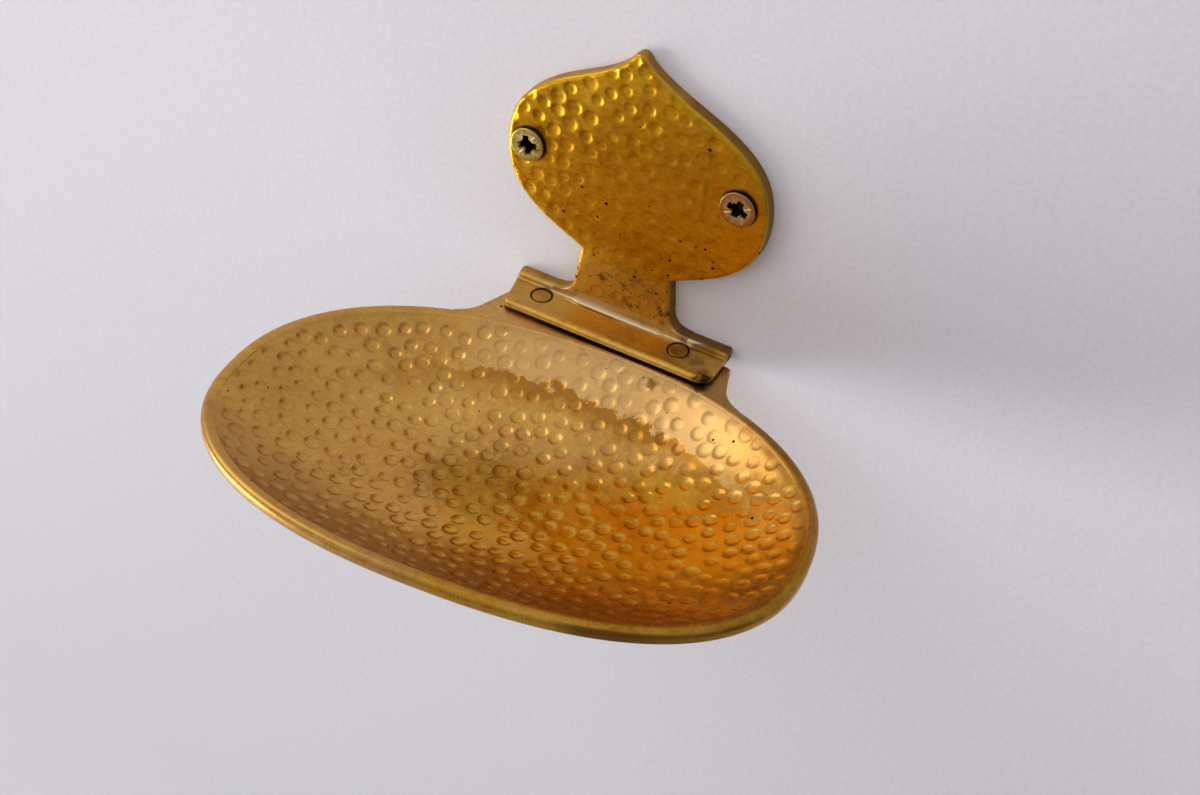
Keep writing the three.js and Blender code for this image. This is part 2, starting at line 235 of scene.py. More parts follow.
def combine(target, tool, operation):
    """Join a closed tool to a closed target, or cut it away, and drop the tool."""
    modifier = target.modifiers.new("combine", "BOOLEAN")
    modifier.operation = operation
    modifier.solver = "MANIFOLD"
    modifier.object = tool
    depsgraph = bpy.context.evaluated_depsgraph_get()
    result = bpy.data.meshes.new_from_object(target.evaluated_get(depsgraph))
    target.modifiers.clear()
    result.name = target.data.name
    target.data = result
    bpy.data.objects.remove(tool)


def shade(obj, material, sharp_deg):
    obj.data.shade_smooth()
    obj.data.set_sharp_from_angle(angle=math.radians(sharp_deg))
    obj.data.materials.clear()
    obj.data.materials.append(material)


def rings_to_faces(ring_count, side_count):
    """Quads between closed rings of points that are stored one ring after the other."""
    faces = []
    for ring in range(ring_count - 1):
        for side in range(side_count):
            after = (side + 1) % side_count
            low = ring * side_count
            high = low + side_count
            faces.append((low + side, low + after, high + after, high + side))
    return faces


def loft(name, rings):
    """A closed solid through rings of equally many points, with a flat cap at either end."""
    count = len(rings[0])
    faces = rings_to_faces(len(rings), count)
    faces.append(tuple(range(count)))
    faces.append(tuple(range((len(rings) - 1) * count, len(rings) * count)))
    return new_object(name, np.concatenate(rings), faces)


def turned(name, profile, sides, place):
    """A closed turned solid from [radius, height] pairs that start and end on the axis."""
    angle = np.linspace(0, 2 * math.pi, sides, endpoint=False)
    points = []
    for radius, height in profile[1:-1]:
        ring = [radius * np.cos(angle), radius * np.sin(angle), np.full(sides, float(height))]
        points.append(np.stack(ring, axis=1))
    points = np.concatenate(points + [[[0, 0, profile[0][1]]], [[0, 0, profile[-1][1]]]])
    faces = rings_to_faces(len(profile) - 2, sides)
    low, high = len(points) - 2, len(points) - 1
    top = (len(profile) - 3) * sides
    for side in range(sides):
        after = (side + 1) % sides
        faces.append((low, after, side))
        faces.append((high, top + side, top + after))
    return new_object(name, place(points), faces)


def upright(x, y):
    return lambda points: points + np.array([x, y, 0])


def out_of_wall(x, z, turn_deg=0):
    """Local height becomes the distance out from the wall."""
    c, s = math.cos(math.radians(turn_deg)), math.sin(math.radians(turn_deg))

    def place(points):
        points = np.asarray(points, dtype=float)
        u, v, w = points[:, 0], points[:, 1], points[:, 2]
        return np.stack([x + u * c - v * s, -w, z + u * s + v * c], axis=1)

    return place


def bezier(*corners, count):
    """Points along a curve drawn by two, three or four corners, without its last point."""
    t = np.linspace(0, 1, count, endpoint=False)[:, None]
    order = len(corners) - 1
    weights = [math.comb(order, k) * t**k * (1 - t) ** (order - k) for k in range(order + 1)]
    return sum(weight * np.array(corner, dtype=float) for weight, corner in zip(weights, corners))


def arc(x, y, reach_x, reach_y, angles):
    """Points round an oval at angles in degrees, mirrored where a reach is negative."""
    return [(x + reach_x * math.cos(t), y + reach_y * math.sin(t)) for t in np.radians(angles)]


def inward(outline):
    """Unit normals of a closed counter-clockwise outline, pointing into it."""
    ahead = np.roll(outline, -1, axis=0) - outline
    behind = outline - np.roll(outline, 1, axis=0)
    ahead /= np.linalg.norm(ahead, axis=1)[:, None]
    behind /= np.linalg.norm(behind, axis=1)[:, None]
    along = ahead + behind
    along /= np.linalg.norm(along, axis=1)[:, None]
    return np.stack([-along[:, 1], along[:, 0]], axis=1)


def inside(points, outline):
    """Which points lie inside a closed outline, by counting crossings."""
    x, y = points[:, 0], points[:, 1]
    result = np.zeros(len(points), dtype=bool)
    after = np.roll(outline, -1, axis=0)
    for (x0, y0), (x1, y1) in zip(outline, after):
        if y0 == y1:
            continue
        spans = (y0 > y) != (y1 > y)
        result ^= spans & (x < x0 + (x1 - x0) * (y - y0) / (y1 - y0))
    return result


def part_way(values, start, end):
    """How far values have gone from start to end, held between 0 and 1."""
    return np.clip((values - start) / (end - start), 0, 1)


def waves(points, layers):
    """Smooth noise at points in millimetres, as a sum of layers of depth, size and seed."""
    total = np.zeros(len(points))
    for depth, size, seed in layers:
        shift = Vector((seed * 13.7, seed * 5.1, seed * 9.3))
        total += depth * np.array([noise.noise(Vector(p) / size + shift) for p in points])
    return total


class Punches:
    """Round punch marks scattered evenly over a surface, no two closer than the spacing."""

    def __init__(self, candidates, spacing, radius, depth):
        self.places = []
        for point in candidates:
            near = np.array(self.places) - point if self.places else np.empty((0, 3))
            if not len(near) or np.min(np.sum(near**2, axis=1)) > spacing**2:
                self.places.append(point)
        self.places = np.array(self.places)
        count = len(self.places)
        self.radius = radius * rng.uniform(*MARK_RADIUS_SPREAD, count)
        self.depth = depth * rng.uniform(*MARK_DEPTH_SPREAD, count)
        self.lean = rng.normal(0, MARK_LEAN, (count, 3))
        self.tree = KDTree(count)
        for index, place in enumerate(self.places):
            self.tree.insert(place, index)
        self.tree.balance()

    def near(self, points, reach):
        """Each point's row with each mark near it, and its distance as a share of the mark's radius."""
        widest = reach * self.radius.max()
        for row, point in enumerate(points):
            for _, mark, distance in self.tree.find_range(point, widest):
                yield row, mark, distance / self.radius[mark]

    def depth_at(self, points):
        """How far each point is driven in: a nearly flat floor inside a crisp edge."""
        result = np.zeros(len(points))
        for row, mark, share in self.near(points, 1):
            if share < 1:
                offset = (points[row] - self.places[mark]) / self.radius[mark]
                lean = 1 + float(np.dot(self.lean[mark], offset))
                result[row] = max(result[row], self.depth[mark] * lean * (1 - share**MARK_FLATNESS))
        return result

    def edge_at(self, points):
        """Nearness of each point to the edge of a mark, 1 on the edge and 0 away from it."""
        result = np.zeros(len(points))
        for row, _, share in self.near(points, MARK_EDGE_REACH):
            off_edge = (share - MARK_EDGE_AT) / MARK_EDGE_WIDTH
            result[row] = max(result[row], math.exp(-(off_edge**2)))
        return result


# Bowl


def oval(angle, half_length, half_width):
    """Plan of the bowl: a squared oval, wider towards the front, turned and put in its place."""
    c, s = np.cos(angle), np.sin(angle)
    reach = (np.abs(c) ** BOWL_SQUARENESS + np.abs(s) ** BOWL_SQUARENESS) ** (-1 / BOWL_SQUARENESS)
    c, s = c * reach, s * reach
    egg = 1 - BOWL_EGG * np.sign(s) * np.abs(s) ** (BOWL_SQUARENESS / 2)
    across, along = half_length * c * egg, half_width * s
    c, s = math.cos(BOWL_TURN), math.sin(BOWL_TURN)
    return across * c - along * s + BOWL_CENTRE[0], across * s + along * c + BOWL_CENTRE[1]


def rim_point(angle, inset):
    return np.array(oval(angle, BOWL_LENGTH / 2 - inset, BOWL_WIDTH / 2 - inset))


def bowl_inside(share, angle):
    x, y = oval(angle, INNER_LENGTH * share, INNER_WIDTH * share)
    z = RIM_TOP - LIP_ROUND - (BOWL_DEPTH - LIP_ROUND) * (1 - share**BOWL_FLATNESS)
    return np.stack([x, y, z], axis=-1)


def disc_map(a, b):
    """Square to disc without a crowded middle: share of the radius and angle."""
    wide = np.abs(a) > np.abs(b)
    safe_a = np.where(a == 0, 1, a)
    safe_b = np.where(b == 0, 1, b)
    angle = np.where(wide, math.pi / 4 * b / safe_a, math.pi / 2 - math.pi / 4 * a / safe_b)
    radius = np.where(wide, a, b)
    return np.abs(radius), np.where(radius < 0, angle + math.pi, angle)


def bowl_marks():
    """Punch marks, worn down along the back and the right, and crisp at the back left."""
    tries = rng.uniform(-1, 1, (BOWL_MARK_TRIES, 2))
    share, angle = disc_map(tries[:, 0], tries[:, 1])
    keep = share < BOWL_MARK_REACH
    places = bowl_inside(share[keep], angle[keep])
    punches = Punches(places, BOWL_MARK_SPACING, BOWL_MARK_RADIUS, BOWL_MARK_DEPTH)
    x, y = punches.places[:, 0], punches.places[:, 1]
    worn = 0.5 * part_way(y, -36, -20) * part_way(x, -32, -17)
    worn = np.maximum(worn, 0.25 * part_way(x, 10, 40))
    crisp = part_way(x, -18, -34) * part_way(y, -56, -42)
    punches.depth *= 1 - worn + 0.6 * crisp
    return punches


def lip_section(angle):
    """Inset and height round the lip, in from the rim's outer side, from the bowl over the top to below."""
    steep = np.hypot(np.cos(angle) / INNER_LENGTH, np.sin(angle) / INNER_WIDTH)
    steep *= (BOWL_DEPTH - LIP_ROUND) * BOWL_FLATNESS + (LIP_ROUND - LIP_DROP) * LIP_LIFT_POWER
    curve = np.maximum(1.2, steep * (LIP_WIDTH - LIP_CROWN) / LIP_DROP)
    section = []
    for step in range(1, 9):
        t = step / 9
        section.append((LIP_WIDTH - (LIP_WIDTH - LIP_CROWN) * t, -LIP_DROP * (1 - t) ** curve))
    section += arc(LIP_CROWN, -LIP_SHOULDER, -LIP_CROWN, LIP_SHOULDER, np.linspace(90, 0, 9))
    section += arc(LIP_ROUND, LIP_ROUND - LIP_THICKNESS, -LIP_ROUND, -LIP_ROUND, np.linspace(0, 90, 6))
    return section


def bowl_object():
    a, b = np.meshgrid(
        np.linspace(-1, 1, GRID_LONG + 1), np.linspace(-1, 1, GRID_WIDE + 1), indexing="ij"
    )
    share, angle = disc_map(a, b)
    base = bowl_inside(share, angle)
    normal = np.cross(np.gradient(base, axis=0), np.gradient(base, axis=1))
    normal /= np.linalg.norm(normal, axis=2)[:, :, None]
    flat = base.reshape(-1, 3)
    punches = bowl_marks()
    sunk = (punches.depth_at(flat) + waves(flat, BOWL_WAVES)).reshape(share.shape)
    inner = base - normal * (sunk * part_way(share, 1, 0.98))[:, :, None]
    inner[:, :, 2] += (LIP_ROUND - LIP_DROP) * share**LIP_LIFT_POWER

    index = np.arange(share.size).reshape(share.shape)
    faces = []
    for i in range(GRID_LONG):
        for j in range(GRID_WIDE):
            faces.append((index[i, j], index[i + 1, j], index[i + 1, j + 1], index[i, j + 1]))
    loop = np.concatenate([index[-1, :-1], index[:0:-1, -1], index[0, :0:-1], index[:-1, 0]])
    loop_angle = angle.reshape(-1)[loop]
    sides = len(loop)
    rings = []
    for inset, z in lip_section(loop_angle):
        x, y = rim_point(loop_angle, inset + LIP_INSET)
        rings.append(np.column_stack([x, y, RIM_TOP + z + np.zeros(sides)]))
    for step in range(UNDER_RINGS):
        ring = bowl_inside(np.full(sides, 1 - step / UNDER_RINGS), loop_angle)
        ring[:, 2] -= BOWL_WALL
        rings.append(ring)
    under = bowl_inside(np.array([0.0]), np.array([0.0]))
    under[:, 2] -= BOWL_WALL

    points = np.concatenate([inner.reshape(-1, 3), *rings, under])
    first = share.size
    for side in range(sides):
        after = (side + 1) % sides
        faces.append((loop[side], loop[after], first + after, first + side))
    for face in rings_to_faces(len(rings), sides):
        faces.append(tuple(corner + first for corner in face))
    last = first + (len(rings) - 1) * sides
    for side in range(sides):
        faces.append((last + side, last + (side + 1) % sides, len(points) - 1))
    faces = [tuple(int(corner) for corner in face) for face in faces]
    return new_object("dish_hammered", points, faces), punches


def tab_side(side, y):
    flare = TAB_FLARE * (-TAB_FROM_WALL - TAB_CORNER - y)
    return np.array([BOWL_CENTRE[0] + side * (TAB_WIDTH / 2 + flare), y])


def tab_root(side):
    """Rim angle at which a side of the tab runs into the rim."""
    near, far = math.pi / 2, math.pi / 2 - side * math.radians(75)
    for _ in range(40):
        middle = (near + far) / 2
        x, y = rim_point(middle, 0)
        if side * (x - tab_side(side, y)[0]) > 0:
            far = middle
        else:
            near = middle
    return near


def prism(name, outline, low, high, ease):
    """A plate from a counter-clockwise plan outline, with rounded top and bottom edges."""
    normals = inward(outline)
    section = [(ease + 0.15, low)]
    section += arc(ease, low + ease, -ease, -ease, (90, 68, 45, 23, 0))
    section += arc(ease, high - ease, -ease, ease, (0, 22, 45, 67, 90))
    section += [(ease + 0.15, high)]
    rings = []
    for inset, z in section:
        rings.append(np.column_stack([outline + normals * inset, np.full(len(outline), z)]))
    return loft(name, rings)


def tab_half(side):
    """Curves along one side of the tab, from its back to the rim, and the rim angle where they land."""
    angle = tab_root(side)
    root = rim_point(angle, 0)
    start = tab_side(side, root[1] + TAB_FILLET)
    land_angle = angle - side * TAB_FILLET / (BOWL_WIDTH / 2)
    edge = BOWL_CENTRE[0] + side * TAB_WIDTH / 2
    back = -TAB_FROM_WALL
    corner = (edge, back - TAB_CORNER)
    curves = [
        (8, (edge - side * TAB_CORNER, back), (edge, back), corner),
        (10, corner, start),
        (10, start, root, rim_point(land_angle, LIP_ROUND / 2)),
    ]
    return curves, land_angle


def tab_object():
    left, left_angle = tab_half(-1)
    right, right_angle = tab_half(1)
    parts = [bezier(*corners, count=count) for count, *corners in left]
    sweep = np.linspace(left_angle, right_angle, 60)
    parts.append(np.array([rim_point(angle, LIP_WIDTH - TAB_UNDER_LIP) for angle in sweep]))
    parts += [bezier(*reversed(corners), count=count) for count, *corners in reversed(right)]
    parts.append(bezier(right[0][1], left[0][1], count=40))
    return prism("tab", np.concatenate(parts), TAB_BOTTOM, RIM_TOP - TAB_BELOW_RIM, TAB_EASE)


# Wall plate


def leaf_half(side):
    """Curves down one half of the leaf, from the tip into the foot, as a count of points and corners."""
    half = PLATE_WIDTH / 2
    neck = NECK_WIDTH / 2
    neck_foot = neck + NECK_FLARE
    outer = neck_foot + NECK_FILLET
    fillet_top = LEG_TOP + NECK_FILLET
    tip = (TIP_ROUND + side * TIP_OFFSET, TIP_HEIGHT - TIP_ROUND)
    ogee = (TIP_PULL_X, TIP_HEIGHT - TIP_PULL_Z)
    lobe = (neck + LOBE_RUN_X, LOBE_RUN_Z - NECK_TOP_DROP)
    neck_top = (neck, -NECK_TOP_DROP)
    curves = [
        (130, tip, ogee, (half, SHOULDER_PULL), (half, 0)),
        (90, (half, 0), (half, -LOBE_PULL), lobe, neck_top),
        (24, neck_top, (neck_foot, fillet_top)),
        (24, (neck_foot, fillet_top), (neck_foot, LEG_TOP), (outer, LEG_TOP)),
        (6, (outer, LEG_TOP), (outer, (FOOT_TOP + FOOT_BOTTOM) / 2)),
    ]
    return [(count, [(side * x, z) for x, z in corners]) for count, *corners in curves]


def leaf_outline():
    left, right = leaf_half(-1), leaf_half(1)
    tip_left, tip_right = left[0][1][0], right[0][1][0]
    parts = [bezier(tip_right, (TIP_OFFSET, TIP_HEIGHT + TIP_ROUND / 2), tip_left, count=12)]
    parts += [bezier(*corners, count=count) for count, corners in left]
    parts.append(bezier(left[-1][1][-1], right[-1][1][-1], count=90))
    parts += [bezier(*reversed(corners), count=count) for count, corners in reversed(right)]
    return np.concatenate(parts)


def leaf_grid(front):
    """Points in a triangular pattern inside the plate's front, clear of its edge."""
    low, high = front.min(axis=0), front.max(axis=0)
    columns = np.arange(low[0], high[0], LEAF_PITCH)
    rows = np.arange(low[1], high[1], LEAF_PITCH * math.sqrt(0.75))
    grid = np.array([(x + (row % 2) * LEAF_PITCH / 2, z) for row, z in enumerate(rows) for x in columns])
    grid = grid[inside(grid, front)]
    edge = KDTree(len(front))
    for i, (x, z) in enumerate(front):
        edge.insert((x, z, 0), i)
    edge.balance()
    return grid[[edge.find((x, z, 0))[2] > LEAF_PITCH * 0.6 for x, z in grid]]


def leaf_marks(outline):
    """Punch marks, deepest towards the upper left and almost worn away on the neck."""
    across = rng.uniform(*LEAF_MARK_ACROSS, LEAF_MARK_TRIES)
    up = rng.uniform(*LEAF_MARK_UP, LEAF_MARK_TRIES)
    tries = np.column_stack([across, np.full(LEAF_MARK_TRIES, -PLATE_THICKNESS), up])
    tries = tries[inside(tries[:, [0, 2]], outline)]
    punches = Punches(tries, LEAF_MARK_SPACING, LEAF_MARK_RADIUS, LEAF_MARK_DEPTH)
    high_left = part_way(punches.places[:, 2] - 0.85 * punches.places[:, 0], 7, 31)
    punches.depth *= 0.42 + 0.76 * high_left
    punches.radius *= 1 + 0.12 * high_left
    return punches


def leaf_object():
    outline = leaf_outline()
    normals = inward(outline)
    filed = np.column_stack([outline, np.zeros(len(outline))])
    outline = outline + normals * (EDGE_FILING + waves(filed, EDGE_WAVES))[:, None]
    # the eased edge fades out where the outline goes into the foot
    normals = normals * part_way(outline[:, 1], LEG_TOP, LEG_TOP + 2)[:, None]
    front = outline + normals * EDGE_EASE
    grid = leaf_grid(front)
    count = len(front)
    plane = [Vector(p) for p in np.concatenate([front, grid])]
    rim_edges = [(i, (i + 1) % count) for i in range(count)]
    _, _, triangles, came_from, _, _ = delaunay_2d_cdt(plane, rim_edges, [], 1, 1e-6)
    order = [sources[0] for sources in came_from]

    section = [(0.0, 0.0), (0.0, EDGE_STRAIGHT)]
    section += arc(EDGE_EASE, PLATE_THICKNESS - EDGE_EASE, -EDGE_EASE, EDGE_EASE, np.linspace(0, 90, 6))
    rings = []
    for inset, out in section:
        ring = outline + normals * inset
        rings.append(np.column_stack([ring[:, 0], np.full(count, -out), ring[:, 1]]))
    spots = np.column_stack([grid[:, 0], np.full(len(grid), -PLATE_THICKNESS), grid[:, 1]])
    points = np.concatenate(rings + [spots])

    punches = leaf_marks(outline)
    at_face = points.copy()
    at_face[:, 1] = -PLATE_THICKNESS
    sunk = punches.depth_at(at_face) + waves(at_face, LEAF_WAVES) + LEAF_WEAR
    above_foot = part_way(points[:, 2], LEG_TOP + 0.8, LEG_TOP + 3.3)
    share = part_way(-points[:, 1], EDGE_STRAIGHT, PLATE_THICKNESS) ** 2
    points[:, 1] += sunk * share * above_foot

    last_ring = (len(section) - 1) * count
    faces = rings_to_faces(len(section), count)
    faces.append(tuple(range(count)))
    for triangle in triangles:
        faces.append(tuple(last_ring + order[corner] for corner in triangle))
    return new_object("wall_plate_hammered", points, faces), punches


def foot_section(depth_limit, leg_top, cove_run, channel, groove):
    """Section from the wall, over the leg, down the cove, along the channel and round the front."""
    back = LEG_BACK_EASE
    cove_foot = PLATE_THICKNESS + cove_run
    top = [(0.0, leg_top - back), (0.3 * back, leg_top - 0.3 * back), (back, leg_top)]
    leg_low = leg_top - LEG_EDGE
    top += arc(PLATE_THICKNESS - LEG_EDGE, leg_low, LEG_EDGE, LEG_EDGE, (90, 68, 45, 23))
    top += arc(cove_foot, leg_low, -cove_run, FOOT_TOP - leg_low, np.linspace(10, 90, 10)[1:])
    for off_cove, dip in ((GROOVE_FROM, 0), (GROOVE_MIDDLE, groove), (GROOVE_TO, 0)):
        top.append((cove_foot + off_cove, FOOT_TOP - dip))
    channel_start = cove_foot + CHANNEL_FROM_COVE
    channel_end = depth_limit - FRONT_ROUND_DEPTH - 0.1
    for step in range(13):
        t = step / 12
        dip = channel * math.sin(math.pi * t) ** 0.8
        top.append((channel_start + (channel_end - channel_start) * t, FOOT_TOP - dip))
    ledge = depth_limit - FRONT_LEDGE
    front = FOOT_TOP - FRONT_ROUND_HEIGHT
    quarter = np.linspace(90, 0, 9)[1:]
    top += arc(ledge - FRONT_ROUND_DEPTH, front, FRONT_ROUND_DEPTH, FRONT_ROUND_HEIGHT, quarter)
    top += [(ledge + 0.02, front - 0.06), (depth_limit, front - FRONT_LEDGE)]
    top += [(depth_limit, FOOT_BOTTOM + FOOT_FRONT_EASE), (depth_limit - FOOT_FRONT_EASE, FOOT_BOTTOM)]
    top += [(FOOT_BACK_EASE, FOOT_BOTTOM), (0.0, FOOT_BOTTOM + FOOT_BACK_EASE)]
    return np.array(top)


def foot_object():
    """The foot bar, by sections along it that stand closer together at its ends."""
    half = FOOT_LENGTH / 2
    ease = FOOT_END_EASE
    bunched = 0.5 - 0.5 * np.cos(np.linspace(0, math.pi, FOOT_STATIONS))
    spans = arc(ease - half, ease, -ease, -ease, (0, 23, 45, 68))
    spans += [(x, 0.0) for x in -half + ease + (FOOT_LENGTH - 2 * ease) * bunched]
    spans += arc(half - ease, ease, ease, -ease, (68, 45, 23, 0))
    sections = []
    for x, inset in spans:
        limit = FOOT_DEPTH
        right = x - (half - FOOT_RIGHT_CORNER)
        left = (-half + FOOT_LEFT_CORNER) - x
        for over, radius in ((right, FOOT_RIGHT_CORNER), (left, FOOT_LEFT_CORNER)):
            if over > 0:
                share = FOOT_CORNER_SHARE * over / radius
                limit = FOOT_DEPTH - radius * (1 - math.sqrt(max(0, 1 - share**2)))
        channel = CHANNEL_DEPTH * part_way(x, half - 2.5, half - 6.5)
        groove = GROOVE_DEPTH * part_way(x, -16, -12) * part_way(x, 3, -2)
        end = part_way(x, LEG_END_ROUND - half, -half)
        leg_top = LEG_TOP - LEG_END_DROP * (1 - math.sqrt(1 - end**2))
        by_neck = part_way(abs(x), NECK_WIDTH / 2 + 3, NECK_WIDTH / 2 - 1)
        cove_run = COVE_RUN_AT_ENDS + (COVE_RUN - COVE_RUN_AT_ENDS) * by_neck
        section = foot_section(limit, leg_top, cove_run, channel, groove)
        clockwise = section[::-1]
        section = (clockwise + inward(clockwise) * inset)[::-1]
        slant = FOOT_LEFT_SLANT * section[:, 0] / FOOT_DEPTH * part_way(x, 4, -half) ** 1.5
        section = np.column_stack([x + slant, -section[:, 0], section[:, 1]])
        worn = FOOT_WEAR + waves(section * np.array([0.35, 1, 1]), FOOT_WAVES)
        section[:, 2] -= np.where(section[:, 2] > FOOT_TOP - 0.9, worn, 0)
        sections.append(section)
    return loft("foot", sections)


def neck_fillet_object():
    """The upper part of the cove, which runs on up the neck's face above the leg."""
    buried = PLATE_THICKNESS - COVE_BURIED
    middle = (PLATE_THICKNESS + COVE_RUN, FOOT_TOP + COVE_RISE)
    cove = arc(*middle, -COVE_RUN, -COVE_RISE, np.linspace(82, 0, 14))
    section = np.array([(buried, cove[0][1]), *cove, (buried, cove[-1][1])])
    reach = NECK_WIDTH / 2 + NECK_FLARE + 0.6
    sections = []
    for x in np.linspace(-reach, reach, 70):
        fade = part_way(abs(x), reach, reach - 2.4) ** 0.6
        depth = buried + (section[:, 0] - buried) * (0.35 + 0.65 * fade)
        sections.append(np.column_stack([np.full(len(section), x), -depth, section[:, 1]]))
    return loft("fillet", sections)


# Fasteners and their holes


def hole_profile(radius, low, seat_from, seat_radius, seat_to, high):
    """A straight hole that opens into a wider seat."""
    seat = [(radius, seat_from), (seat_radius, seat_to)]
    return [(0, low), (radius, low), *seat, (seat_radius, high), (0, high)]


def rivet_hole(x):
    profile = hole_profile(
        RIVET_HOLE_RADIUS, -44, RIVET_SEAT_FROM, RIVET_SEAT_RADIUS, RIVET_SEAT_TO, -30
    )
    return turned("hole", profile, 48, upright(x, RIVET_Y))


def screw_hole(x, z):
    profile = hole_profile(SCREW_HOLE_RADIUS, -5, SCREW_SEAT_FROM, SCREW_SEAT_RADIUS, SCREW_SEAT_TO, 9)
    return turned("hole", profile, 64, out_of_wall(x, z))


def rivet_object(name, x):
    quarter = np.linspace(90, 0, 9)
    profile = [(0, RIVET_TAIL_TOP - RIVET_TAIL_DOME)]
    profile += arc(0, RIVET_TAIL_TOP, RIVET_TAIL_RADIUS, -RIVET_TAIL_DOME, quarter[1:])
    profile += [(RIVET_SHANK_RADIUS, RIVET_TAIL_TOP + 0.05), (RIVET_SHANK_RADIUS, RIVET_SHANK_TOP)]
    crown = RIVET_HEAD_RADIUS - RIVET_EDGE
    shoulder = RIVET_TOP - RIVET_CROWN - RIVET_EDGE
    profile += [(RIVET_HEAD_RADIUS - 0.06, shoulder - 0.18), (RIVET_HEAD_RADIUS, shoulder - 0.08)]
    profile += arc(crown, shoulder, RIVET_EDGE, RIVET_EDGE, np.linspace(0, 90, 6))
    for radius in (1.7, 1.3, 0.9, 0.45):
        profile.append((radius, RIVET_TOP - RIVET_CROWN * (radius / crown) ** 2))
    profile.append((0, RIVET_TOP))
    return turned(name + "_turned", profile, 64, upright(x, RIVET_Y))


def slot_cutter(slot, turn_deg, place):
    """A tapered cutter for a slot in a screw's head."""
    length, width, end_length, end_width, depth = slot
    c, s = math.cos(math.radians(turn_deg)), math.sin(math.radians(turn_deg))
    rings = []
    for u, v, w in (
        (length / 2, width / 2, SCREW_TOP + 0.5),
        (length / 2, width / 2, SCREW_TOP),
        (end_length / 2, end_width / 2, SCREW_TOP - depth),
    ):
        corners = ((-u, -v), (u, -v), (u, v), (-u, v))
        rings.append(place([(a * c - b * s, a * s + b * c, w) for a, b in corners]))
    return loft("slot", rings)


def screw_object(name, x, z, turn_deg):
    place = out_of_wall(x, z, turn_deg)
    angle = np.linspace(0, 2 * math.pi, SCREW_SIDES, endpoint=False)
    profile = [(0, SCREW_POINT_AT)]
    for w in np.arange(SCREW_POINT_AT + 0.1, THREAD_END, THREAD_STEP):
        taper = min(1.0, ((w - SCREW_POINT_AT) / SCREW_TAPER) ** 0.8)
        full = part_way(w, THREAD_FADE_FROM, THREAD_FADE_TO)
        phase = (w / THREAD_PITCH - angle / (2 * math.pi)) % 1.0
        ridge = part_way(np.abs(phase - 0.5), THREAD_HALF_SHARE, 0) * full
        core = SCREW_CORE_RADIUS + (SCREW_SHANK_RADIUS - SCREW_CORE_RADIUS) * (1 - full)
        profile.append((taper * (core + (THREAD_RADIUS - core) * ridge), w))
    crown = SCREW_HEAD_RADIUS - SCREW_EDGE
    shoulder = SCREW_TOP - SCREW_CROWN - SCREW_EDGE
    profile += [(SCREW_SHANK_RADIUS, THREAD_END + 0.1), (SCREW_SHANK_RADIUS, SCREW_SEAT_FROM - 0.1)]
    profile += [(2.0, 1.95), (3.75, 3.65), (3.95, 3.85)]
    profile.append((SCREW_HEAD_RADIUS, shoulder - 0.2))
    profile += arc(crown, shoulder, SCREW_EDGE, SCREW_EDGE, np.linspace(0, 90, 6))
    for radius in (3.4, 2.9, 2.3, 1.5, 0.7):
        profile.append((radius, SCREW_TOP - SCREW_CROWN * radius / crown))
    profile.append((0, SCREW_TOP))
    screw = turned(name + "_threaded", profile, SCREW_SIDES, place)
    for turn in (0, 90):
        combine(screw, slot_cutter(CROSS_SLOT, turn, place), "DIFFERENCE")
    for turn in (45, 135):
        for slot in (STAR_SLOT, TICK_SLOT):
            combine(screw, slot_cutter(slot, turn, place), "DIFFERENCE")
    return screw


# Materials


